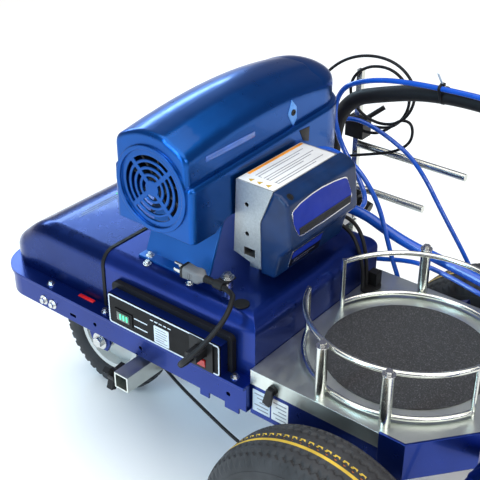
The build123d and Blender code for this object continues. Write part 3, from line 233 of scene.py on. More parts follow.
BLUE = paint("blue_paint", (0.005, 0.023, 0.18), (0.007, 0.030, 0.22), 0.85, 0.30, coat=0.2)
BLUE_GLOSS = paint("blue_gloss", (0.001, 0.066, 0.29), (0.002, 0.080, 0.34), 0.9, 0.30, coat=0.2, edge=SHEET)
# The hood's paint is a darker copy of the blue paint: painted shade for the hood's dim top.
BLUE_HOOD_PAINTED_SHADE = paint("blue_hood_painted_shade", (0.003, 0.019, 0.13), (0.004, 0.025, 0.16), 0.9, 0.28, coat=0.2, edge=SHEET)
STRIPE = plastic("hood_stripe", (0.16, 0.22, 0.40), 0.35)
BLUE_LIGHT = paint("blue_cradle", (0.006, 0.12, 0.45), (0.012, 0.14, 0.50), 0.6, 0.34)
NAVY = plastic("navy_plastic", (0.002, 0.020, 0.078), 0.36, coat=0.1)
GREY_BLACK = plastic("trim_plastic", (0.035, 0.037, 0.042), 0.4)
BLACK = plastic("black_plastic", (0.009, 0.009, 0.010), 0.38, shine=0.25)
BLACK_PANEL = plastic("black_panel", (0.003, 0.003, 0.004), 0.35, shine=0.12)
SEAL = plastic("black_seal", (0.007, 0.007, 0.008), 0.5, shine=0.2)
METER_DARK = plastic("meter_dark", (0.006, 0.03, 0.018), 0.15, strength=0.02, coat=1.0)
# Paler blue for the patch round the shroud's screw: a painted highlight on its recess.
PATCH_HIGHLIGHT = plastic("patch_highlight_blue", (0.10, 0.30, 0.72), 0.3)
CLEAR_STRIP = plastic("clear_strip", (0.02, 0.11, 0.46), 0.12, strength=0.02, coat=1.0)
RUBBER = plastic("black_rubber", (0.009, 0.009, 0.010), 0.5, 700, 0.2, shine=0.25)
TYRE = plastic("tyre_rubber", (0.032, 0.032, 0.034), 0.62, 500, 0.35, 0.0005, 0.3)
TYRE_YELLOW = plastic("tyre_mark_yellow", (0.55, 0.36, 0.04), 0.6, 500, 0.3)
TYRE_ORANGE = plastic("tyre_mark_orange", (0.42, 0.13, 0.04), 0.6, 500, 0.3)
GREY = plastic("grey_plastic", (0.13, 0.135, 0.145), 0.45)
WHITE = plastic("white_label", (0.78, 0.78, 0.77), 0.4, spread=0.05)
LINE_GREY = plastic("label_lines", (0.25, 0.25, 0.27), 0.5)
ORANGE = plastic("label_orange", (0.85, 0.30, 0.02), 0.4)
RED = plastic("red_plastic", (0.55, 0.012, 0.012), 0.3, coat=0.4)
GREEN = plastic("green_decal", (0.05, 0.42, 0.25), 0.35)
PALE_DECAL = plastic("pale_decal", (0.62, 0.68, 0.74), 0.3, spread=0.05)
BADGE_BLUE = plastic("badge_blue", (0.006, 0.026, 0.30), 0.4, spread=0.1, shine=0.15)
SILVER = metal("silver_trim", (0.6, 0.6, 0.62), (0.75, 0.75, 0.76), 0.22)
ZINC = metal("zinc_plate", (0.58, 0.62, 0.58), (0.68, 0.71, 0.67), 0.36, (1, 2, 1), 12, 0.004)
RING_ZINC = metal("ring_zinc", (0.58, 0.60, 0.55), (0.75, 0.76, 0.71), 0.2, grain=40, strength=0.006)
BRIGHT = metal("bright_zinc", (0.55, 0.55, 0.54), (0.72, 0.72, 0.70), 0.24)
STEEL = metal("steel", (0.40, 0.41, 0.43), (0.56, 0.57, 0.58), 0.3)
CHROME = metal("hard_chrome", (0.72, 0.73, 0.74), (0.82, 0.82, 0.83), 0.1)
ALLOY = metal("cast_alloy", (0.40, 0.41, 0.42), (0.52, 0.53, 0.54), 0.45, grain=200, strength=0.2)
GALVANISED = galvanised("galvanised", (0.40, 0.41, 0.41), (0.54, 0.55, 0.55), 0.5)
PALE_RIM = paint("pale_rim", (0.55, 0.55, 0.52), (0.62, 0.62, 0.58), 0.1, 0.4)
HOSE_BLUE = plastic("blue_hose", (0.008, 0.085, 0.50), 0.22, 300, 0.05, coat=0.7, spread=0.12)
GRIT = grit("grip_grit")
LED = glowing("meter_led", (0.08, 0.95, 0.45), 1.6)

NODE_MATERIALS = {
    "chassis_frame": BLUE, "rear_axle": STEEL, "hex_bolts": BRIGHT, "pail_tray": ZINC, "pail_ring": RING_ZINC,
    "grip_pad": GRIT, "tray_latch": BLACK, "deck_cover": BLUE, "hood": BLUE_HOOD_PAINTED_SHADE, "body_seals": SEAL,
    "panel_face": BLACK_PANEL, "power_inlet": BLACK, "power_switch": RED, "cable_clips": RUBBER,
    "batteries": BLACK, "charger": BLACK_PANEL, "motor_cradle": BLUE_LIGHT, "motor_can": BLACK_PANEL,
    "motor_shroud": BLUE_GLOSS, "motor_rotor": GREY_BLACK, "drive_housing": ALLOY, "crank_gear": STEEL,
    "pump_cylinder": CHROME, "pump_rod": CHROME, "fluid_manifold": ALLOY, "prime_valve": BLACK,
    "hose_fittings": BRIGHT, "suction_strainer": STEEL, "control_housing": GALVANISED, "control_cover": NAVY,
    "pressure_knob": BLACK, "receiver_tube": ZINC, "receiver_knob": BLACK, "gun_arm": RING_ZINC,
    "gun_clamps": BLACK, "spray_gun": ALLOY, "gun_trigger": BLACK, "handlebar": BLUE, "hand_grips": RUBBER,
    "left_lever": BLACK, "right_lever": BLACK, "left_tyre": TYRE, "left_rim": STEEL, "right_tyre": TYRE,
    "right_rim": STEEL, "caster_fork": BLUE, "caster_tyre": TYRE, "caster_rim": PALE_RIM,
    "caster_axle": BRIGHT, "lock_pin": STEEL, "power_cord": RUBBER, "inlet_connector": BLACK,
    "mains_plug": GREY, "suction_hose": RUBBER, "drain_hose": RUBBER, "paint_hose": HOSE_BLUE,
    "blue_hoses": HOSE_BLUE, "gun_hose": HOSE_BLUE, "control_leads": RUBBER, "gun_leads": RUBBER,
}
for name, node in nodes.items():
    node.data.materials.clear()
    node.data.materials.append(NODE_MATERIALS.get(name, BLUE))
    node.data.shade_smooth()
    node.data.set_sharp_from_angle(angle=math.radians(CAD_SHARP_ANGLE))


# Camera, floor and light ------------------------------------------------------------
def make_camera():
    """The camera behind the machine's left, above it."""
    data = bpy.data.cameras.new("camera")
    data.lens = 75.6
    data.sensor_width = 36.0
    camera = bpy.data.objects.new("camera", data)
    bpy.context.scene.collection.objects.link(camera)
    camera.location = at(-1199.8, -586.4, 1389.6)
    forward = Vector((0.670, 0.541, -0.508))
    camera.rotation_mode = "QUATERNION"
    camera.rotation_quaternion = forward.to_track_quat("-Z", "Y")
    bpy.context.scene.camera = camera


def area_light(name, place, target, size, power, colour=(1, 1, 1)):
    """A soft rectangular light that faces a point; places are machine millimetres."""
    data = bpy.data.lights.new(name, "AREA")
    data.shape = "RECTANGLE"
    data.size, data.size_y = size
    data.energy = power
    data.color = colour
    light = bpy.data.objects.new(name, data)
    light.location = at(*place)
    light.rotation_mode = "QUATERNION"
    light.rotation_quaternion = (at(*target) - at(*place)).to_track_quat("-Z", "Y")
    bpy.context.scene.collection.objects.link(light)


def make_stage():
    """The pale floor, the faint world light and the studio lamps."""
    mesh = bpy.data.meshes.new("floor")
    half = 14.0
    corners = [(-half, -half, 0), (half, -half, 0), (half, half, 0), (-half, half, 0)]
    mesh.from_pydata(corners, [], [(0, 1, 2, 3)])
    floor = bpy.data.objects.new("floor", mesh)
    floor.location = (0, 0, ORIGIN.z - 0.0005)
    material, tree, shader = node_material("studio_floor")
    shade = ramp(tree, noise(tree, 0.8, 2), [(0.3, (0.93, 0.92, 0.90)), (0.7, (0.95, 0.94, 0.92))])
    tree.links.new(shade, shader.inputs["Base Color"])
    shader.inputs["Roughness"].default_value = 0.75
    shader.inputs["Specular IOR Level"].default_value = 0.1
    mesh.materials.append(material)
    bpy.context.scene.collection.objects.link(floor)
    world = bpy.data.worlds.new("studio")
    world.use_nodes = True
    world.node_tree.nodes["Background"].inputs["Color"].default_value = (0.74, 0.78, 1.0, 1)
    world.node_tree.nodes["Background"].inputs["Strength"].default_value = 0.25
    bpy.context.scene.world = world
    sun = bpy.data.lights.new("overhead", "SUN")
    sun.energy = 2.75
    sun.color = (1.0, 0.965, 0.90)
    sun.angle = math.radians(75)
    sky = bpy.data.objects.new("overhead", sun)
    sky.rotation_euler = (math.radians(4), math.radians(-8), 0)
    bpy.context.scene.collection.objects.link(sky)
    area_light("left_strip", (-2300, 700, 1500), (-150, 450, 450), (0.5, 2.4), 46, (0.5, 0.8, 1.0))
    area_light("rear_fill", (-900, -2300, 1900), (0, 200, 400), (2.0, 0.7), 38)
    area_light("front_rim", (900, 2600, 1500), (0, 400, 500), (2.2, 0.4), 30, (0.55, 0.8, 1.0))
    view = bpy.context.scene.view_settings
    view.view_transform = "Standard"
    view.look = "None"


make_camera()
make_stage()


# Mesh helpers -----------------------------------------------------------------------
def place_piece(name, mesh, material, body, sharp, parts):
    """Makes an object of a mesh, gives it its materials and shading, and rides it on a body."""
    for m in material if isinstance(material, (list, tuple)) else [material]:
        mesh.materials.append(m)
    mesh.shade_smooth()
    mesh.set_sharp_from_angle(angle=math.radians(sharp))
    obj = bpy.data.objects.new(name, mesh)
    bpy.context.scene.collection.objects.link(obj)
    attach(obj, body)
    if parts:
        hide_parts(*parts)
    return obj


def piece_from(name, verts, faces, material, body="machine", sharp=SHARP_ANGLE, parts=()):
    """A piece from lists of row-frame points and faces."""
    mesh = bpy.data.meshes.new(name)
    mesh.from_pydata([tuple(v) for v in verts], [], faces)
    mesh.validate()
    return place_piece(name, mesh, material, body, sharp, parts)


def settle(elements, key):
    """Puts a bmesh's vertices or faces in the order of a key."""
    for place, element in enumerate(sorted(elements, key=key)):
        element.index = place
    elements.sort()


def from_bmesh(name, bm, material, parts=()):
    """A piece of the machine's body from a finished bmesh, sorted because a bevel's order varies by run."""
    mesh = bpy.data.meshes.new(name)
    bmesh.ops.recalc_face_normals(bm, faces=bm.faces)
    settle(bm.verts, lambda v: v.co[:])
    settle(bm.faces, lambda f: (*f.calc_center_median(), f.calc_area()))
    bm.to_mesh(mesh)
    bm.free()
    place_piece(name, mesh, material, "machine", SHARP_ANGLE, parts)


def once(items):
    """The items without repeats, in their own order."""
    return list(dict.fromkeys(items))


def soft_block(bm, low, high, bevel=1.0, segments=2):
    """A box with rounded edges, limits in machine millimetres, added to bm."""
    low, high = Vector(low), Vector(high)
    made = bmesh.ops.create_cube(bm, size=1.0)
    verts = made["verts"]
    size = high - low
    middle = (low + high) / 2
    for v in verts:
        v.co = Vector((v.co.x * size.x, v.co.y * size.y, v.co.z * size.z))
    if bevel > 0:
        edges = once(e for v in verts for e in v.link_edges)
        made = bmesh.ops.bevel(bm, geom=edges, offset=bevel, segments=segments, profile=0.5, affect="EDGES")
        verts = once([v for f in made["faces"] for v in f.verts] + [v for v in verts if v.is_valid])
    for v in verts:
        v.co = at(*(v.co + middle))


def lathe(bm, profile, centre, axis, segments=48):
    """Turns (radius, height) pairs round an axis through centre, all in machine millimetres."""
    axis = Vector(axis).normalized()
    side = axis.orthogonal().normalized()
    up = axis.cross(side)
    centre = Vector(centre)
    rings = []
    for i in range(segments):
        angle = math.radians(360 * i / segments)
        radial = side * math.cos(angle) + up * math.sin(angle)
        rings.append([bm.verts.new(at(*(centre + radial * r + axis * h))) for r, h in profile])
    for i in range(segments):
        a, b = rings[i], rings[(i + 1) % segments]
        for j in range(len(profile) - 1):
            if profile[j][0] < 1e-6 and profile[j + 1][0] < 1e-6:
                continue
            bm.faces.new((a[j], a[j + 1], b[j + 1], b[j]))
    bmesh.ops.remove_doubles(bm, verts=[v for ring in rings for v in ring], dist=1e-6)


def set_across(point, axis, height):
    """A flat point set at a height along axis; its own numbers are the two other axes in order."""
    a, b = point
    return {"X": (height, a, b), "Y": (a, height, b), "Z": (a, b, height)}[axis]


def outline_plate(bm, points, axis, low, high, bevel=0.6):
    """Extrudes a closed outline, given in the two other axes' order, from low to high."""
    bottom = [bm.verts.new(at(*set_across(p, axis, low))) for p in points]
    top = [bm.verts.new(at(*set_across(p, axis, high))) for p in points]
    faces = [bm.faces.new(bottom), bm.faces.new(top)]
    count = len(points)
    for i in range(count):
        faces.append(bm.faces.new((bottom[i], bottom[(i + 1) % count], top[(i + 1) % count], top[i])))
    bmesh.ops.recalc_face_normals(bm, faces=faces)
    if bevel:
        edges = once(e for f in faces[:2] for e in f.edges)
        bmesh.ops.bevel(bm, geom=edges, offset=bevel / 1000, segments=2, profile=0.5, affect="EDGES")


def rounded_rect(x0, x1, y0, y1, radius, steps=5):
    """Corner-rounded rectangle as a list of points."""
    points = []
    for cx, cy, start in ((x1 - radius, y1 - radius, 0), (x0 + radius, y1 - radius, 90),
                          (x0 + radius, y0 + radius, 180), (x1 - radius, y0 + radius, 270)):
        for i in range(steps + 1):
            angle = math.radians(start + 90 * i / steps)
            points.append((cx + radius * math.cos(angle), cy + radius * math.sin(angle)))
    return points


# Cords and hoses ----------------------------------------------------------------------
def spline_object(name, routes, diameter, material, order=3, resolution=10):
    """Smooth NURBS tubes along routes given in machine millimetres."""
    data = bpy.data.curves.new(name, "CURVE")
    data.dimensions = "3D"
    data.bevel_depth = diameter / 2000
    data.bevel_resolution = 6
    data.use_fill_caps = True
    for route in routes:
        spline = data.splines.new("NURBS")
        spline.points.add(len(route) - 1)
        for point, place in zip(spline.points, route):
            point.co = (*at(*place), 1)
        spline.order_u = order
        spline.use_endpoint_u = True
        spline.resolution_u = resolution
    obj = bpy.data.objects.new(name, data)
    bpy.context.scene.collection.objects.link(obj)
    data.materials.append(material)
    return obj


POWER_CORD = [
    (-248, 293, 402), (-262, 293, 402), (-270, 283, 414), (-263, 265, 436), (-244, 248, 462),
    (-216, 239, 488), (-188, 246, 503), (-160, 268, 501), (-160, 324, 501),
]
SUCTION_HOSE = [
    (340, 395, 222), (340, 395, 292), (343, 404, 368), (347, 418, 446), (350, 426, 522), (350, 416, 592),
    (346, 378, 641), (342, 317, 664), (341, 245, 687), (338, 170, 699), (332, 92, 703), (322, 8, 703),
    (308, -78, 704), (290, -158, 706), (266, -228, 698), (240, -286, 668), (215, -322, 618),
    (200, -330, 556), (200, -330, 500),
]
DRAIN_HOSE = [
    (292, 318, 440), (314, 318, 440), (328, 332, 462), (326, 362, 508), (323, 396, 560), (323, 410, 616),
    (324, 394, 664), (323, 352, 688), (322, 297, 704), (321, 238, 712), (319, 178, 717), (315, 118, 721),
    (309, 58, 722), (302, -2, 722), (294, -62, 723), (287, -122, 727), (279, -180, 726), (270, -236, 718),
    (258, -288, 696), (246, -330, 658), (238, -354, 606), (234, -358, 550), (231, -350, 496),
]
PAINT_HOSE = [
    (222, 300, 479), (222, 264, 479), (221, 218, 463), (220, 160, 449), (220, 98, 442), (221, 34, 433),
    (218, -28, 423), (218, -80, 423),
]
TIED_HOSE = [
    (203, 272, 377), (203, 272, 389), (203, 250, 399), (204, 214, 408), (205, 170, 422), (205, 132, 430),
    (204, 92, 429), (204, 52, 423), (203, 12, 416), (206, -28, 409), (206, -80, 409),
]
SENSOR_HOSE = [
    (98, 312, 634), (124, 312, 634), (152, 306, 626), (176, 289, 609), (186, 265, 588), (193, 240, 556),
    (198, 218, 515), (201, 203, 466), (203, 186, 416), (204, 168, 376), (204, 168, 345),
]
GUN_HOSE = [
    (280, 450, 430), (280, 474, 430), (304, 494, 446), (336, 495, 482), (364, 478, 524), (383, 449, 559),
    (390, 408, 576), (391, 362, 570), (391, 316, 554), (390, 270, 532), (390, 232, 494), (390, 202, 452),
    (391, 168, 406), (393, 133, 358), (398, 103, 306), (405, 96, 250), (412, 122, 206), (417, 172, 184),
    (419, 226, 186), (420, 280, 205), (420, 338, 205),
]
GUN_LEAD = [
    (184, 520, 440), (214, 522, 452), (262, 520, 480), (318, 515, 530), (366, 505, 590), (392, 484, 648),
    (400, 440, 690), (401, 382, 711), (400, 324, 709), (400, 284, 680), (400, 276, 636), (400, 300, 592),
    (402, 346, 572), (405, 396, 580), (406, 428, 612), (406, 424, 655), (406, 388, 686), (407, 338, 692),
    (407, 300, 668), (407, 290, 628), (407, 308, 586), (409, 346, 560), (409, 391, 560),
]
SHORT_LEAD = [
    (410, 391, 544), (410, 366, 544), (416, 340, 560), (422, 318, 586), (420, 288, 586), (416, 284, 548),
    (412, 318, 518), (406, 376, 498), (399, 434, 480), (395, 470, 440), (391, 478, 380), (392, 462, 320),
    (398, 420, 292), (404, 384, 286),
]
BOX_LEADS = [
    [(112, 260, 506), (122, 260, 506), (126, 244, 500), (122, 222, 490), (117, 205, 466), (113, 192, 432),
     (113, 192, 398)],
    [(112, 262, 520), (128, 262, 520), (136, 242, 514), (134, 220, 502), (130, 204, 476), (124, 192, 436),
     (124, 192, 398)],
]


def handle_lead(side, low):
    """One handle cable, from its lever's bracket down the handle tube to low."""
    y, z = -178.0, 350.0
    x = side * 172
    return [
        (side * 250, y - 448, z + 526), (side * 250, y - 420, z + 500), (side * 236, y - 375, z + 452),
        (side * 200, y - 318, z + 385), (side * 178, y - 262, z + 318), (x, y - 200, z + 245),
        (x, y - 140, z + 168), (x, y - 84, z + 92), *low,
    ]


LOCK_LEAD = handle_lead(-1, [
    (-178, -228, 382), (-192, -196, 332), (-203, -152, 282), (-206, -96, 248), (-206, -34, 233),
    (-206, 34, 225), (-205, 100, 221), (-200, 168, 222), (-192, 240, 229), (-182, 318, 247),
    (-166, 400, 260), (-140, 484, 276), (-104, 556, 290), (-60, 612, 299), (-20, 648, 302),
    (0, 676, 302), (0, 694, 302),
])
SPRAY_LEAD = handle_lead(1, [
    (172, -222, 380), (168, -196, 330), (160, -160, 306), (150, -112, 306), (150, -60, 318), (150, -20, 330),
])


def free_cord(name, node, route, diameter, material,
              body="machine"):
    """A cord along its route, in place of its CAD node."""
    obj = spline_object(name, [route], diameter, material)
    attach(obj, body)
    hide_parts(node)


def centreline(route):
    """The points of a route's smooth line, in the row frame."""
    guide = spline_object("guide", [route], 0, RUBBER, resolution=12)
    mesh = bpy.data.meshes.new_from_object(guide)
    path = [v.co.copy() for v in mesh.vertices]
    bpy.data.objects.remove(guide)
    bpy.data.meshes.remove(mesh)
    return path


def sweep(bm, path, radius, sides=18):
    """A capped tube along path; radius is a rule of the distance along it in millimetres."""
    rings, side, run = [], None, 0.0
    for i, p in enumerate(path):
        ahead = (path[min(i + 1, len(path) - 1)] - path[max(i - 1, 0)]).normalized()
        side = ahead.orthogonal() if side is None else side
        side = (side - ahead * side.dot(ahead)).normalized()
        up = ahead.cross(side)
        run += (p - path[i - 1]).length * 1000 if i else 0.0
        r = radius(run) / 1000
        turns = [2 * math.pi * k / sides for k in range(sides)]
        rings.append([bm.verts.new(p + (side * math.cos(t) + up * math.sin(t)) * r) for t in turns])
    for a, b in zip(rings, rings[1:]):
        for k in range(sides):
            bm.faces.new((a[k], a[(k + 1) % sides], b[(k + 1) % sides], b[k]))
    bm.faces.new(rings[0])
    bm.faces.new(rings[-1])


def crossing_cord(name, node, route, diameter, material):
    """A lead that hangs from the machine to the sliding gun arm, swept as a fixed tube along its route."""
    path = centreline(route)
    bm = bmesh.new()
    sweep(bm, path, lambda run: diameter / 2)
    bmesh.ops.recalc_face_normals(bm, faces=bm.faces)
    mesh = bpy.data.meshes.new(name)
    bm.to_mesh(mesh)
    bm.free()
    mesh.materials.append(material)
    mesh.shade_smooth()
    mesh.set_sharp_from_angle(angle=math.radians(CORD_SHARP_ANGLE))
    obj = bpy.data.objects.new(name, mesh)
    bpy.context.scene.collection.objects.link(obj)
    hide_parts(node)
    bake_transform(obj)


PLUG_X, PLUG_Z = -160, 501  # the line through the plug's middle, along Y


def plug_loft(bm, sections):
    """A closed skin through rounded sections (y, half width, half height, corner) on the plug's line."""
    rings = []
    for y, half_x, half_z, r in sections:
        points = rounded_rect(PLUG_X - half_x, PLUG_X + half_x, PLUG_Z - half_z, PLUG_Z + half_z, r)
        rings.append([bm.verts.new(at(x, y, z)) for x, z in points])
    for a, b in zip(rings, rings[1:]):
        for i in range(len(a)):
            j = (i + 1) % len(a)
            bm.faces.new((a[i], a[j], b[j], b[i]))
    bm.faces.new(rings[0])
    bm.faces.new(rings[-1])


def ribbed_taper(length, wide, narrow, ribs):
    """Radius rule of a strain relief: a taper cut by grooves."""

    def radius(run):
        share = min(max(run / length, 0.0), 1.0)
        groove_here = 0.8 if (share * ribs) % 1.0 > 0.62 else 0.0
        return wide + (narrow - wide) * share - groove_here

    return radius


def fine_path(path, length):
    """The first length millimetres of a path, resampled every half millimetre."""
    step = 0.5
    points, run, i = [path[0].copy()], 0.0, 0
    while run < length and i < len(path) - 1:
        leg = (path[i + 1] - path[i]).length * 1000
        count = max(int(leg / step), 1)
        for k in range(1, count + 1):
            if run + leg * k / count <= length:
                points.append(path[i].lerp(path[i + 1], k / count))
        run += leg
        i += 1
    return points


def mains_plug():
    """Moulded plug: grey grip, black face, bright pins and the two strain reliefs of the lead."""
    bm = bmesh.new()
    plug_loft(bm, [(324.5, 6, 6, 5.9), (330, 8.4, 7.8, 6), (335, 11.5, 10.4, 5), (341, 11.9, 10.9, 5),
                   (350, 10.4, 10.1, 5), (360, 11.5, 10.7, 5), (366, 11.9, 10.9, 4.5)])
    for y in (343, 347, 351, 355, 359):
        soft_block(bm, (-171.6, y - 0.9, 495), (-148.4, y + 0.9, 507), 0.8)
        soft_block(bm, (-166, y - 0.9, 490.4), (-154, y + 0.9, 511.6), 0.8)
    from_bmesh("plug_body", bm, GREY, parts=["mains_plug"])
    bm = bmesh.new()
    plug_loft(bm, [(366, 10.9, 9.9, 4), (366.8, 11.9, 10.9, 4), (371.4, 11.9, 10.9, 4), (372, 11.3, 10.3, 4)])
    from_bmesh("plug_face", bm, BLACK, parts=["mains_plug"])
    bm = bmesh.new()
    for x in (-166.3, -153.7):
        soft_block(bm, (x - 0.8, 371, 495), (x + 0.8, 389, 501.5), 0.3)
    lathe(bm, [(0, 0), (2.4, 0), (2.4, 19.6), (1.4, 21), (0, 21)], (-160, 371, 508), (0, 1, 0), 20)
    from_bmesh("plug_pins", bm, BRIGHT, parts=["mains_plug"])
    straight = [at(PLUG_X, 326 - 0.5 * i, PLUG_Z) for i in range(42)]
    bm = bmesh.new()
    sweep(bm, straight, ribbed_taper(20.5, 6.8, 5.3, 5), 28)
    from_bmesh("plug_relief", bm, RUBBER)
    bm = bmesh.new()
    sweep(bm, fine_path(centreline(POWER_CORD), 23), ribbed_taper(23, 6.8, 5.2, 6), 28)
    from_bmesh("lead_relief", bm, RUBBER)


mains_plug()
free_cord("power_lead", "power_cord", POWER_CORD, 9, RUBBER)
free_cord("suction_line", "suction_hose", SUCTION_HOSE, 30, RUBBER)
free_cord("drain_line", "drain_hose", DRAIN_HOSE, 10, HOSE_BLUE)
free_cord("paint_line", "paint_hose", PAINT_HOSE, 20, HOSE_BLUE)
free_cord("tied_line", "blue_hoses", TIED_HOSE, 9, HOSE_BLUE)
free_cord("sensor_line", "blue_hoses", SENSOR_HOSE, 9, HOSE_BLUE)
crossing_cord("gun_line", "gun_hose", GUN_HOSE, 9, HOSE_BLUE)
crossing_cord("gun_lead", "gun_leads", GUN_LEAD, 6, RUBBER)
free_cord("short_lead", "gun_leads", SHORT_LEAD, 6, RUBBER, body="gun_boom")
for index, (route, length) in enumerate(zip(BOX_LEADS, (0.150, 0.171))):
    free_cord(f"box_lead_{index}", "control_leads", route, 7, RUBBER)
free_cord("lock_lead", "control_leads", LOCK_LEAD, 6, RUBBER)
free_cord("spray_lead", "control_leads", SPRAY_LEAD, 6, RUBBER)


# Tyres ------------------------------------------------------------------------------
def catmull(a, b, c, d, t):
    """The Catmull-Rom value at share t between b and c."""
    square = 2 * a - 5 * b + 4 * c - d
    cube = 3 * b - a - 3 * c + d
    return 0.5 * (2 * b + (c - a) * t + square * t * t + cube * t**3)


def smooth_profile(points, per_span):
    """Points along a Catmull-Rom curve through a list of (a, b) pairs."""
    result = []
    count = len(points)
    for i in range(count - 1):
        p0, p1, p2, p3 = (points[max(0, min(count - 1, i + k))] for k in (-1, 0, 1, 2))
        for step in range(per_span):
            t = step / per_span
            result.append(tuple(catmull(*values, t) for values in zip(p0, p1, p2, p3)))
    return result + [points[-1]]


def zigzag(angle, teeth):
    """A triangle wave from -1 to 1 with that many teeth in a turn."""
    phase = (angle / (2 * math.pi) * teeth) % 1.0
    return 4 * abs(phase - 0.5) - 1


def groove(distance, width):
    """Depth from 0 to 1 of a groove with soft sides at a distance from its centre line."""
    return max(0.0, min(1.0, (width - abs(distance)) / (0.35 * width)))


TYRE_SHAPE = [
    (0.62, 0.0), (0.625, 0.085), (0.74, 0.15), (0.90, 0.27), (0.985, 0.43), (0.995, 0.56), (0.955, 0.72),
    (0.87, 0.84), (0.73, 0.925), (0.50, 0.975), (0.25, 0.995), (0.0, 1.0),
]
ROAD_WIDTH, ROAD_BEAD, ROAD_NOTCHES = 118, 101.6, 84
CASTER_Y, CASTER_RADIUS, CASTER_WIDTH, CASTER_BEAD, CASTER_BLOCKS = 720, 132, 64, 74, 38


def tyre_grid(name, centre, radius, width, bead, body, node, relief, around, materials, marks=None):
    """A tyre as a fine grid, whose relief takes (angle, offset from the middle) to a depth in mm."""
    half = width / 2
    side = [(w * half, bead + r * (radius - bead)) for w, r in TYRE_SHAPE]
    outer = smooth_profile(side, 6)
    outer += [(-w, r) for w, r in reversed(outer[:-1])]
    inner = [(w * 0.82, max(bead, r - 10)) for w, r in reversed(outer)][::4]
    profile = outer + inner
    rows = len(profile)
    verts, faces, kinds = [], [], []
    for i in range(around):
        angle = 2 * math.pi * i / around
        for j, (w, r) in enumerate(profile):
            depth = relief(angle, w / half, (r - bead) / (radius - bead)) if j < len(outer) else 0.0
            x = centre[0] + w * (1 - 0.15 * depth / half)
            y = centre[1] + (r - depth) * math.cos(angle)
            verts.append(at(x, y, centre[2] + (r - depth) * math.sin(angle)))
    for i in range(around):
        a, b = i * rows, (i + 1) % around * rows
        for j in range(rows):
            k = (j + 1) % rows
            faces.append((a + j, a + k, b + k, b + j))
            marked = marks and j < len(outer)
            kinds.append(marks(2 * math.pi * i / around, profile[j][0] / half) if marked else 0)
    obj = piece_from(name, verts, faces, materials, body, sharp=50, parts=[node])
    obj.data.polygons.foreach_set("material_index", kinds)
    return obj


def road_relief(angle, across, up):
    """Five zigzag grooves round the crown, a notched shoulder and fine sidewall rings."""
    depth = 0.0
    if up > 0.80:
        for centre in (-0.66, -0.36, 0.0, 0.36, 0.66):
            depth = max(depth, 3.2 * groove(across - centre - 0.045 * zigzag(angle, ROAD_NOTCHES), 0.050))
    if 0.70 < up < 0.93:
        notch = zigzag(angle, ROAD_NOTCHES)
        depth = max(depth, 2.2 * max(0.0, min(1.0, (0.855 - up + 0.05 * notch) / 0.02)) * (up > 0.74))
    if up < 0.62:
        depth += 0.35 * (1 + math.sin(up * 150)) * (0.16 < up < 0.5)
        depth += 1.2 * groove(up - 0.53, 0.012)
    return depth


def road_marks(angle, across):
    """A solid line and two dashed lines of coloured rubber beside the crown."""
    dash = (angle / (2 * math.pi) * ROAD_NOTCHES) % 1.0
    if abs(across + 0.185) < 0.028:
        return 1
    if abs(across - 0.065) < 0.022 and dash < 0.7:
        return 1
    if abs(across + 0.045) < 0.018 and 0.3 < dash < 0.6:
        return 2
    return 0


def knob_relief(angle, across, up):
    """Blocks of a coarse tread: a centre row and two shoulder rows out of step."""
    if up < 0.66:
        return 0.8 * groove(up - 0.5, 0.02)
    phase = (angle / (2 * math.pi) * CASTER_BLOCKS) % 1.0
    other = (phase + 0.5) % 1.0
    gap = 5.0
    if abs(across) < 0.26:
        return gap * groove(phase - 0.5, 0.16)
    if abs(across) < 0.34:
        return gap
    return gap * groove(other - 0.5, 0.2)


def make_tyres():
    """Both road tyres and the caster's block tyre."""
    kinds = [TYRE, TYRE_YELLOW, TYRE_ORANGE]
    around = 1008
    for side, x in (("left", LEFT_WHEEL_X), ("right", RIGHT_WHEEL_X)):
        tyre_grid(f"tyre_{side}", (x, 0, TYRE_RADIUS), TYRE_RADIUS, ROAD_WIDTH, ROAD_BEAD, f"{side}_wheel",
                  f"{side}_tyre", road_relief, around, kinds, road_marks)
    tyre_grid("tyre_caster", (0, CASTER_Y, CASTER_RADIUS), CASTER_RADIUS, CASTER_WIDTH, CASTER_BEAD,
              "caster_wheel", "caster_tyre", knob_relief, 12 * CASTER_BLOCKS, [TYRE])


make_tyres()


# Plates, labels and small trim ---------------------------------------------------------
def cover_face(z):
    """Rear face of the control cover at height z."""
    return 211.5 + (z - 562) * 8 / 78


def cover_slope(z):
    """The face that slants back in under the control cover."""
    return 231 + (540 - z) * 12 / 46


def edge_height(line, x):
    """Height of an open line of (x, z) points at x."""
    for (x0, z0), (x1, z1) in zip(line, line[1:]):
        if x <= x1:
            return z0 + (z1 - z0) * (x - x0) / max(x1 - x0, 1e-6)
    return line[-1][1]


def wrapped_plate(name, face, lower, upper, lift, material, inset=0.0):
    """A thin closed plate that follows a leaning face between two edge lines."""
    columns, rows = 40, 6
    bm = bmesh.new()
    x0, x1 = lower[0][0] + inset, lower[-1][0] - inset
    layers = []
    for out in (lift, -0.3):
        grid = []
        for i in range(columns + 1):
            x = x0 + (x1 - x0) * i / columns
            low, high = edge_height(lower, x) + inset, edge_height(upper, x) - inset
            if high - low < 0.6:
                low, high = (low + high) / 2 - 0.3, (low + high) / 2 + 0.3
            heights = [low + (high - low) * j / rows for j in range(rows + 1)]
            grid.append([bm.verts.new(at(x, face(z) - out, z)) for z in heights])
        layers.append(grid)
    front, back = layers
    for i in range(columns):
        for j in range(rows):
            for grid in layers:
                bm.faces.new((grid[i][j], grid[i + 1][j], grid[i + 1][j + 1], grid[i][j + 1]))
        for j in (0, rows):
            bm.faces.new((front[i][j], front[i + 1][j], back[i + 1][j], back[i][j]))
    for i in (0, columns):
        for j in range(rows):
            bm.faces.new((front[i][j], front[i][j + 1], back[i][j + 1], back[i][j]))
    from_bmesh(name, bm, material)


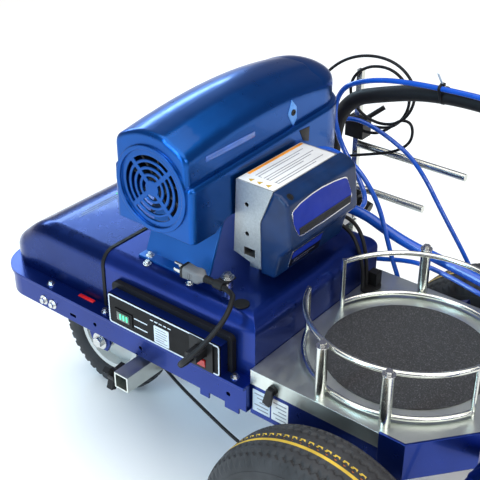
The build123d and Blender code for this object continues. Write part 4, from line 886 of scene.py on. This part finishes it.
def face_bar(bm, face, x0, x1, z0, z1, lift, sink=0.3):
    """A thin bar on a leaning face, standing lift proud of it."""
    corners = [(x, z, out) for z in (z0, z1) for x in (x0, x1) for out in (-sink, lift)]
    verts = [bm.verts.new(at(x, face(z) - out, z)) for x, z, out in corners]
    for loop in ((0, 1, 3, 2), (4, 6, 7, 5), (0, 4, 5, 1), (2, 3, 7, 6), (0, 2, 6, 4), (1, 5, 7, 3)):
        bm.faces.new([verts[i] for i in loop])


def ring_plate(bm, outer, inner, axis, low, high):
    """A flat frame between two outlines with equal point counts."""
    loops = []
    for points in (outer, inner):
        for h in (low, high):
            loops.append([bm.verts.new(at(*set_across(p, axis, h))) for p in points])
    count = len(outer)
    for a, b in ((0, 1), (1, 3), (3, 2), (2, 0)):
        for i in range(count):
            j = (i + 1) % count
            bm.faces.new((loops[a][i], loops[a][j], loops[b][j], loops[b][i]))


BADGE_LOW = [(-75, 618), (-72, 599), (-61, 577), (-52, 575), (12, 574), (85, 576), (91, 580), (92, 588)]
BADGE_HIGH = [
    (-75, 622), (-72, 627), (-51, 633.5), (-20, 636.8), (8, 637.3), (44, 634.3), (72, 630), (79, 627),
    (82, 621), (88, 604), (92, 590),
]


def cover_badges():
    """The blank badge with its ribbed band, the smaller badge below it and a black ring at the cover's screw
    recess, painted shade of the hole.
    """
    wrapped_plate("badge_edge", cover_face, BADGE_LOW, BADGE_HIGH, 1.0, SILVER)
    wrapped_plate("badge_field", cover_face, BADGE_LOW, BADGE_HIGH, 1.7, BADGE_BLUE, 2.6)
    band_low = [(-60, 579), (-50, 577.5), (84, 578.5), (88, 582)]
    wrapped_plate("badge_grille", cover_face, band_low, [(-60, 590.5), (88, 590.5)], 2.2, BLACK)
    bm = bmesh.new()
    for i in range(46):
        x = -58 + i * 3.15
        face_bar(bm, cover_face, x, x + 1.3, 579.4, 589.6, 3.0, -2.0)
    face_bar(bm, cover_face, -60, 87, 590, 591.4, 2.8, -1.5)
    from_bmesh("badge_ribs", bm, GREY_BLACK)
    low, high = [(-50, 503), (-48, 501), (36, 501), (38, 503)], [(-50, 534), (-48, 536), (36, 536), (38, 534)]
    wrapped_plate("model_edge", cover_slope, low, high, 0.7, SILVER)
    wrapped_plate("model_field", cover_slope, low, high, 1.1, BLACK_PANEL, 1.3)
    blue_low = [(-48, 519), (36, 519)]
    wrapped_plate("model_blue", cover_slope, blue_low, [(-48, 534.5), (36, 534.5)], 1.4, BADGE_BLUE, 0.4)
    bm = bmesh.new()
    for z, x0, x1 in ((511.5, -40, 22), (506.5, -40, 4)):
        face_bar(bm, cover_slope, x0, x1, z, z + 1.8, 1.4)
    from_bmesh("model_bars", bm, SILVER)
    # A black ring and pit stand in for the dark screw recess: painted shade.
    bm = bmesh.new()
    cap = [(0, 0.5), (3.4, 0.5), (3.8, 1.2), (5.6, 1.2), (6.2, 0), (6.2, -1), (0, -1)]
    lathe(bm, cap, (-66, 228.3, 645.6), (0, -0.537, 0.844), 32)
    from_bmesh("screw_recess_shade", bm, BLACK)


def box_label():
    """A blank warning plate on the control box."""
    bm = bmesh.new()
    outline_plate(bm, rounded_rect(-77, 95, 253, 325.5, 3), "Z", 651.8, 652.35, 0.1)
    from_bmesh("label_sheet", bm, WHITE)
    bm = bmesh.new()
    outline_plate(bm, rounded_rect(-54, 94, 318.5, 324.5, 1), "Z", 652.2, 652.55, 0.05)
    from_bmesh("label_band", bm, ORANGE)
    bm = bmesh.new()
    for row, end in ((308, 78), (302, 60), (291, 84), (285, 70), (279, 40), (268, 80), (262, 52)):
        outline_plate(bm, rounded_rect(-52, end, row - 0.9, row + 0.9, 0.4, 2), "Z", 652.2, 652.5, 0)
    for row in (300, 283, 266):
        outline_plate(bm, rounded_rect(-52, -50.6, row - 4, row + 4, 0.3, 2), "Z", 652.2, 652.5, 0)
    from_bmesh("label_rows", bm, LINE_GREY)
    bm = bmesh.new()
    for y in (304, 287, 269):
        turns = [math.radians(a) for a in (90, 210, 330)]
        points = [(-68 + 6.2 * math.cos(t), y + 6.2 * math.sin(t)) for t in turns]
        outline_plate(bm, points, "Z", 652.2, 652.55, 0.1)
    from_bmesh("label_marks", bm, TYRE_YELLOW)


def panel_trim():
    """The silver border, the meter and the blank label of the side panel."""
    bm = bmesh.new()
    outer = rounded_rect(255.4, 506.6, 365.4, 424.6, 5)
    inner = rounded_rect(257.8, 504.2, 367.8, 422.2, 3)
    ring_plate(bm, outer, inner, "X", -210.7, -209.9)
    from_bmesh("panel_border", bm, PALE_DECAL)
    bm = bmesh.new()
    outline_plate(bm, rounded_rect(456, 486, 379.5, 396.5, 1.5), "X", -212.6, -210.6, 0.3)
    from_bmesh("meter_window", bm, METER_DARK)
    bm = bmesh.new()
    for y in (462, 469.5, 477):
        outline_plate(bm, rounded_rect(y - 1.8, y + 1.8, 382.5, 393.5, 0.8, 3), "X", -213.0, -212.3, 0)
    from_bmesh("meter_bars", bm, LED)
    bm = bmesh.new()
    outline_plate(bm, rounded_rect(365.5, 399.5, 369.5, 404, 2), "X", -210.7, -209.9, 0.1)
    for y in (364, 374, 384, 394, 404):
        outline_plate(bm, rounded_rect(y - 3.6, y + 3.6, 410.5, 412.3, 0.5, 2), "X", -210.6, -209.9, 0)
    for z in (381, 397):
        outline_plate(bm, rounded_rect(415, 446, z - 1, z + 1, 0.5, 2), "X", -210.6, -209.9, 0)
    from_bmesh("panel_label", bm, PALE_DECAL)
    bm = bmesh.new()
    for z, y0 in ((399, 372), (394, 369), (389, 371), (384, 369), (379, 376), (374.5, 369)):
        outline_plate(bm, rounded_rect(y0, 396, z - 0.7, z + 0.7, 0.3, 2), "X", -210.95, -210.5, 0)
    from_bmesh("panel_rows", bm, LINE_GREY)


def rail_labels():
    """Two blank data labels on the left rail."""
    for index, (y0, y1) in enumerate(((131, 164), (167, 202))):
        bm = bmesh.new()
        outline_plate(bm, rounded_rect(y0, y1, 313, 356, 1.5), "X", -190.6, -189.9, 0.1)
        from_bmesh(f"data_label_{index}", bm, (WHITE, PALE_DECAL)[index])
        bm = bmesh.new()
        for row in range(5):
            z = 349 - row * 7.4
            line = rounded_rect(y0 + 3, y1 - 4 - row % 3 * 5, z - 1, z + 1, 0.4, 2)
            outline_plate(bm, line, "X", -190.9, -190.5, 0)
        from_bmesh(f"data_rows_{index}", bm, LINE_GREY)


def hood_trim():
    """The hood's plain stripes and patch, and the red marker on the pan's flange."""
    bm = bmesh.new()
    for y0, y1, x0, x1 in ((671, 673.5, -116, 116), (676, 679.5, -104, 60), (681.5, 684, -90, 116)):
        outline_plate(bm, rounded_rect(x0, x1, y0, y1, 1), "Z", 474.8, 475.3, 0.1)
    from_bmesh("hood_stripe", bm, STRIPE)
    bm = bmesh.new()
    outline_plate(bm, rounded_rect(-8, 22, 669, 687, 3), "Z", 475.2, 475.6, 0.1)
    from_bmesh("hood_patch", bm, GREEN)
    bm = bmesh.new()
    soft_block(bm, (-191, 571, 364.6), (-183, 609, 366.8), 0.8)
    from_bmesh("flange_marker", bm, RED)


def shroud_trim():
    """The shroud's screw in a paler patch that is a painted highlight, a black sheet that is painted shade in
    the ledge's notch, and a clear strip.
    """
    bm = bmesh.new()
    # A paler blue plate round the screw: painted highlight on the screw's recess.
    patch = [(80, 704), (90, 728), (104, 712), (106, 690), (96, 678), (86, 692)]
    outline_plate(bm, patch, "Y", 341.8, 346, 0.6)
    from_bmesh("screw_recess_highlight", bm, PATCH_HIGHLIGHT)
    bm = bmesh.new()
    lathe(bm, [(0, 1.6), (2.4, 1.6), (2.6, 3.2), (5.0, 3.2), (5.6, 2.6), (5.6, 0), (0, 0)], (94, 343, 704),
          (0, -1, 0), 28)
    from_bmesh("shroud_screw", bm, BLACK)
    bm = bmesh.new()
    # A thin black sheet stands in for the notch in the ledge: painted shade.
    outline_plate(bm, [(100, 671), (130, 669), (129, 641), (112, 648)], "Y", 331.3, 332.4, 0.3)
    from_bmesh("ledge_notch_shade", bm, BLACK)
    bm = bmesh.new()
    outline_plate(bm, rounded_rect(-134, -10, 696, 706, 2), "Y", 342.5, 343.2, 0.2)
    from_bmesh("clear_strip", bm, CLEAR_STRIP)


def hose_strap():
    """A strap round the suction and drain hoses, with its head and loose tail."""
    circles = [((338.6, 697.2), 15.4), ((320, 716.2), 5.5)]

    def support(angle, extra):
        d = (math.cos(angle), math.sin(angle))
        centre, r = max(circles, key=lambda c: c[0][0] * d[0] + c[0][1] * d[1] + c[1])
        return centre[0] + (r + extra) * d[0], centre[1] + (r + extra) * d[1]

    angles = [math.radians(a) for a in range(0, 360, 5)]
    bm = bmesh.new()
    outer = [support(a, 1.5) for a in angles]
    inner = [support(a, 0.1) for a in angles]
    ring_plate(bm, outer, inner, "Y", 183, 188.5)
    soft_block(bm, (323, 181.5, 718.5), (331, 190, 724.5), 1.2)
    from_bmesh("strap_band", bm, BLACK)
    bm = bmesh.new()
    soft_block(bm, (-0.6, -2.2, 0), (0.6, 2.2, 34), 0.4, 2)
    turn = Matrix.Rotation(math.radians(-38), 4, "Y")
    foot = at(326, 186, 722)
    home = at(0, 0, 0)
    for v in bm.verts:
        v.co = foot + turn @ (v.co - home)
    from_bmesh("strap_tail", bm, PALE_DECAL)


cover_badges()
box_label()
panel_trim()
rail_labels()
hood_trim()
shroud_trim()
hose_strap()
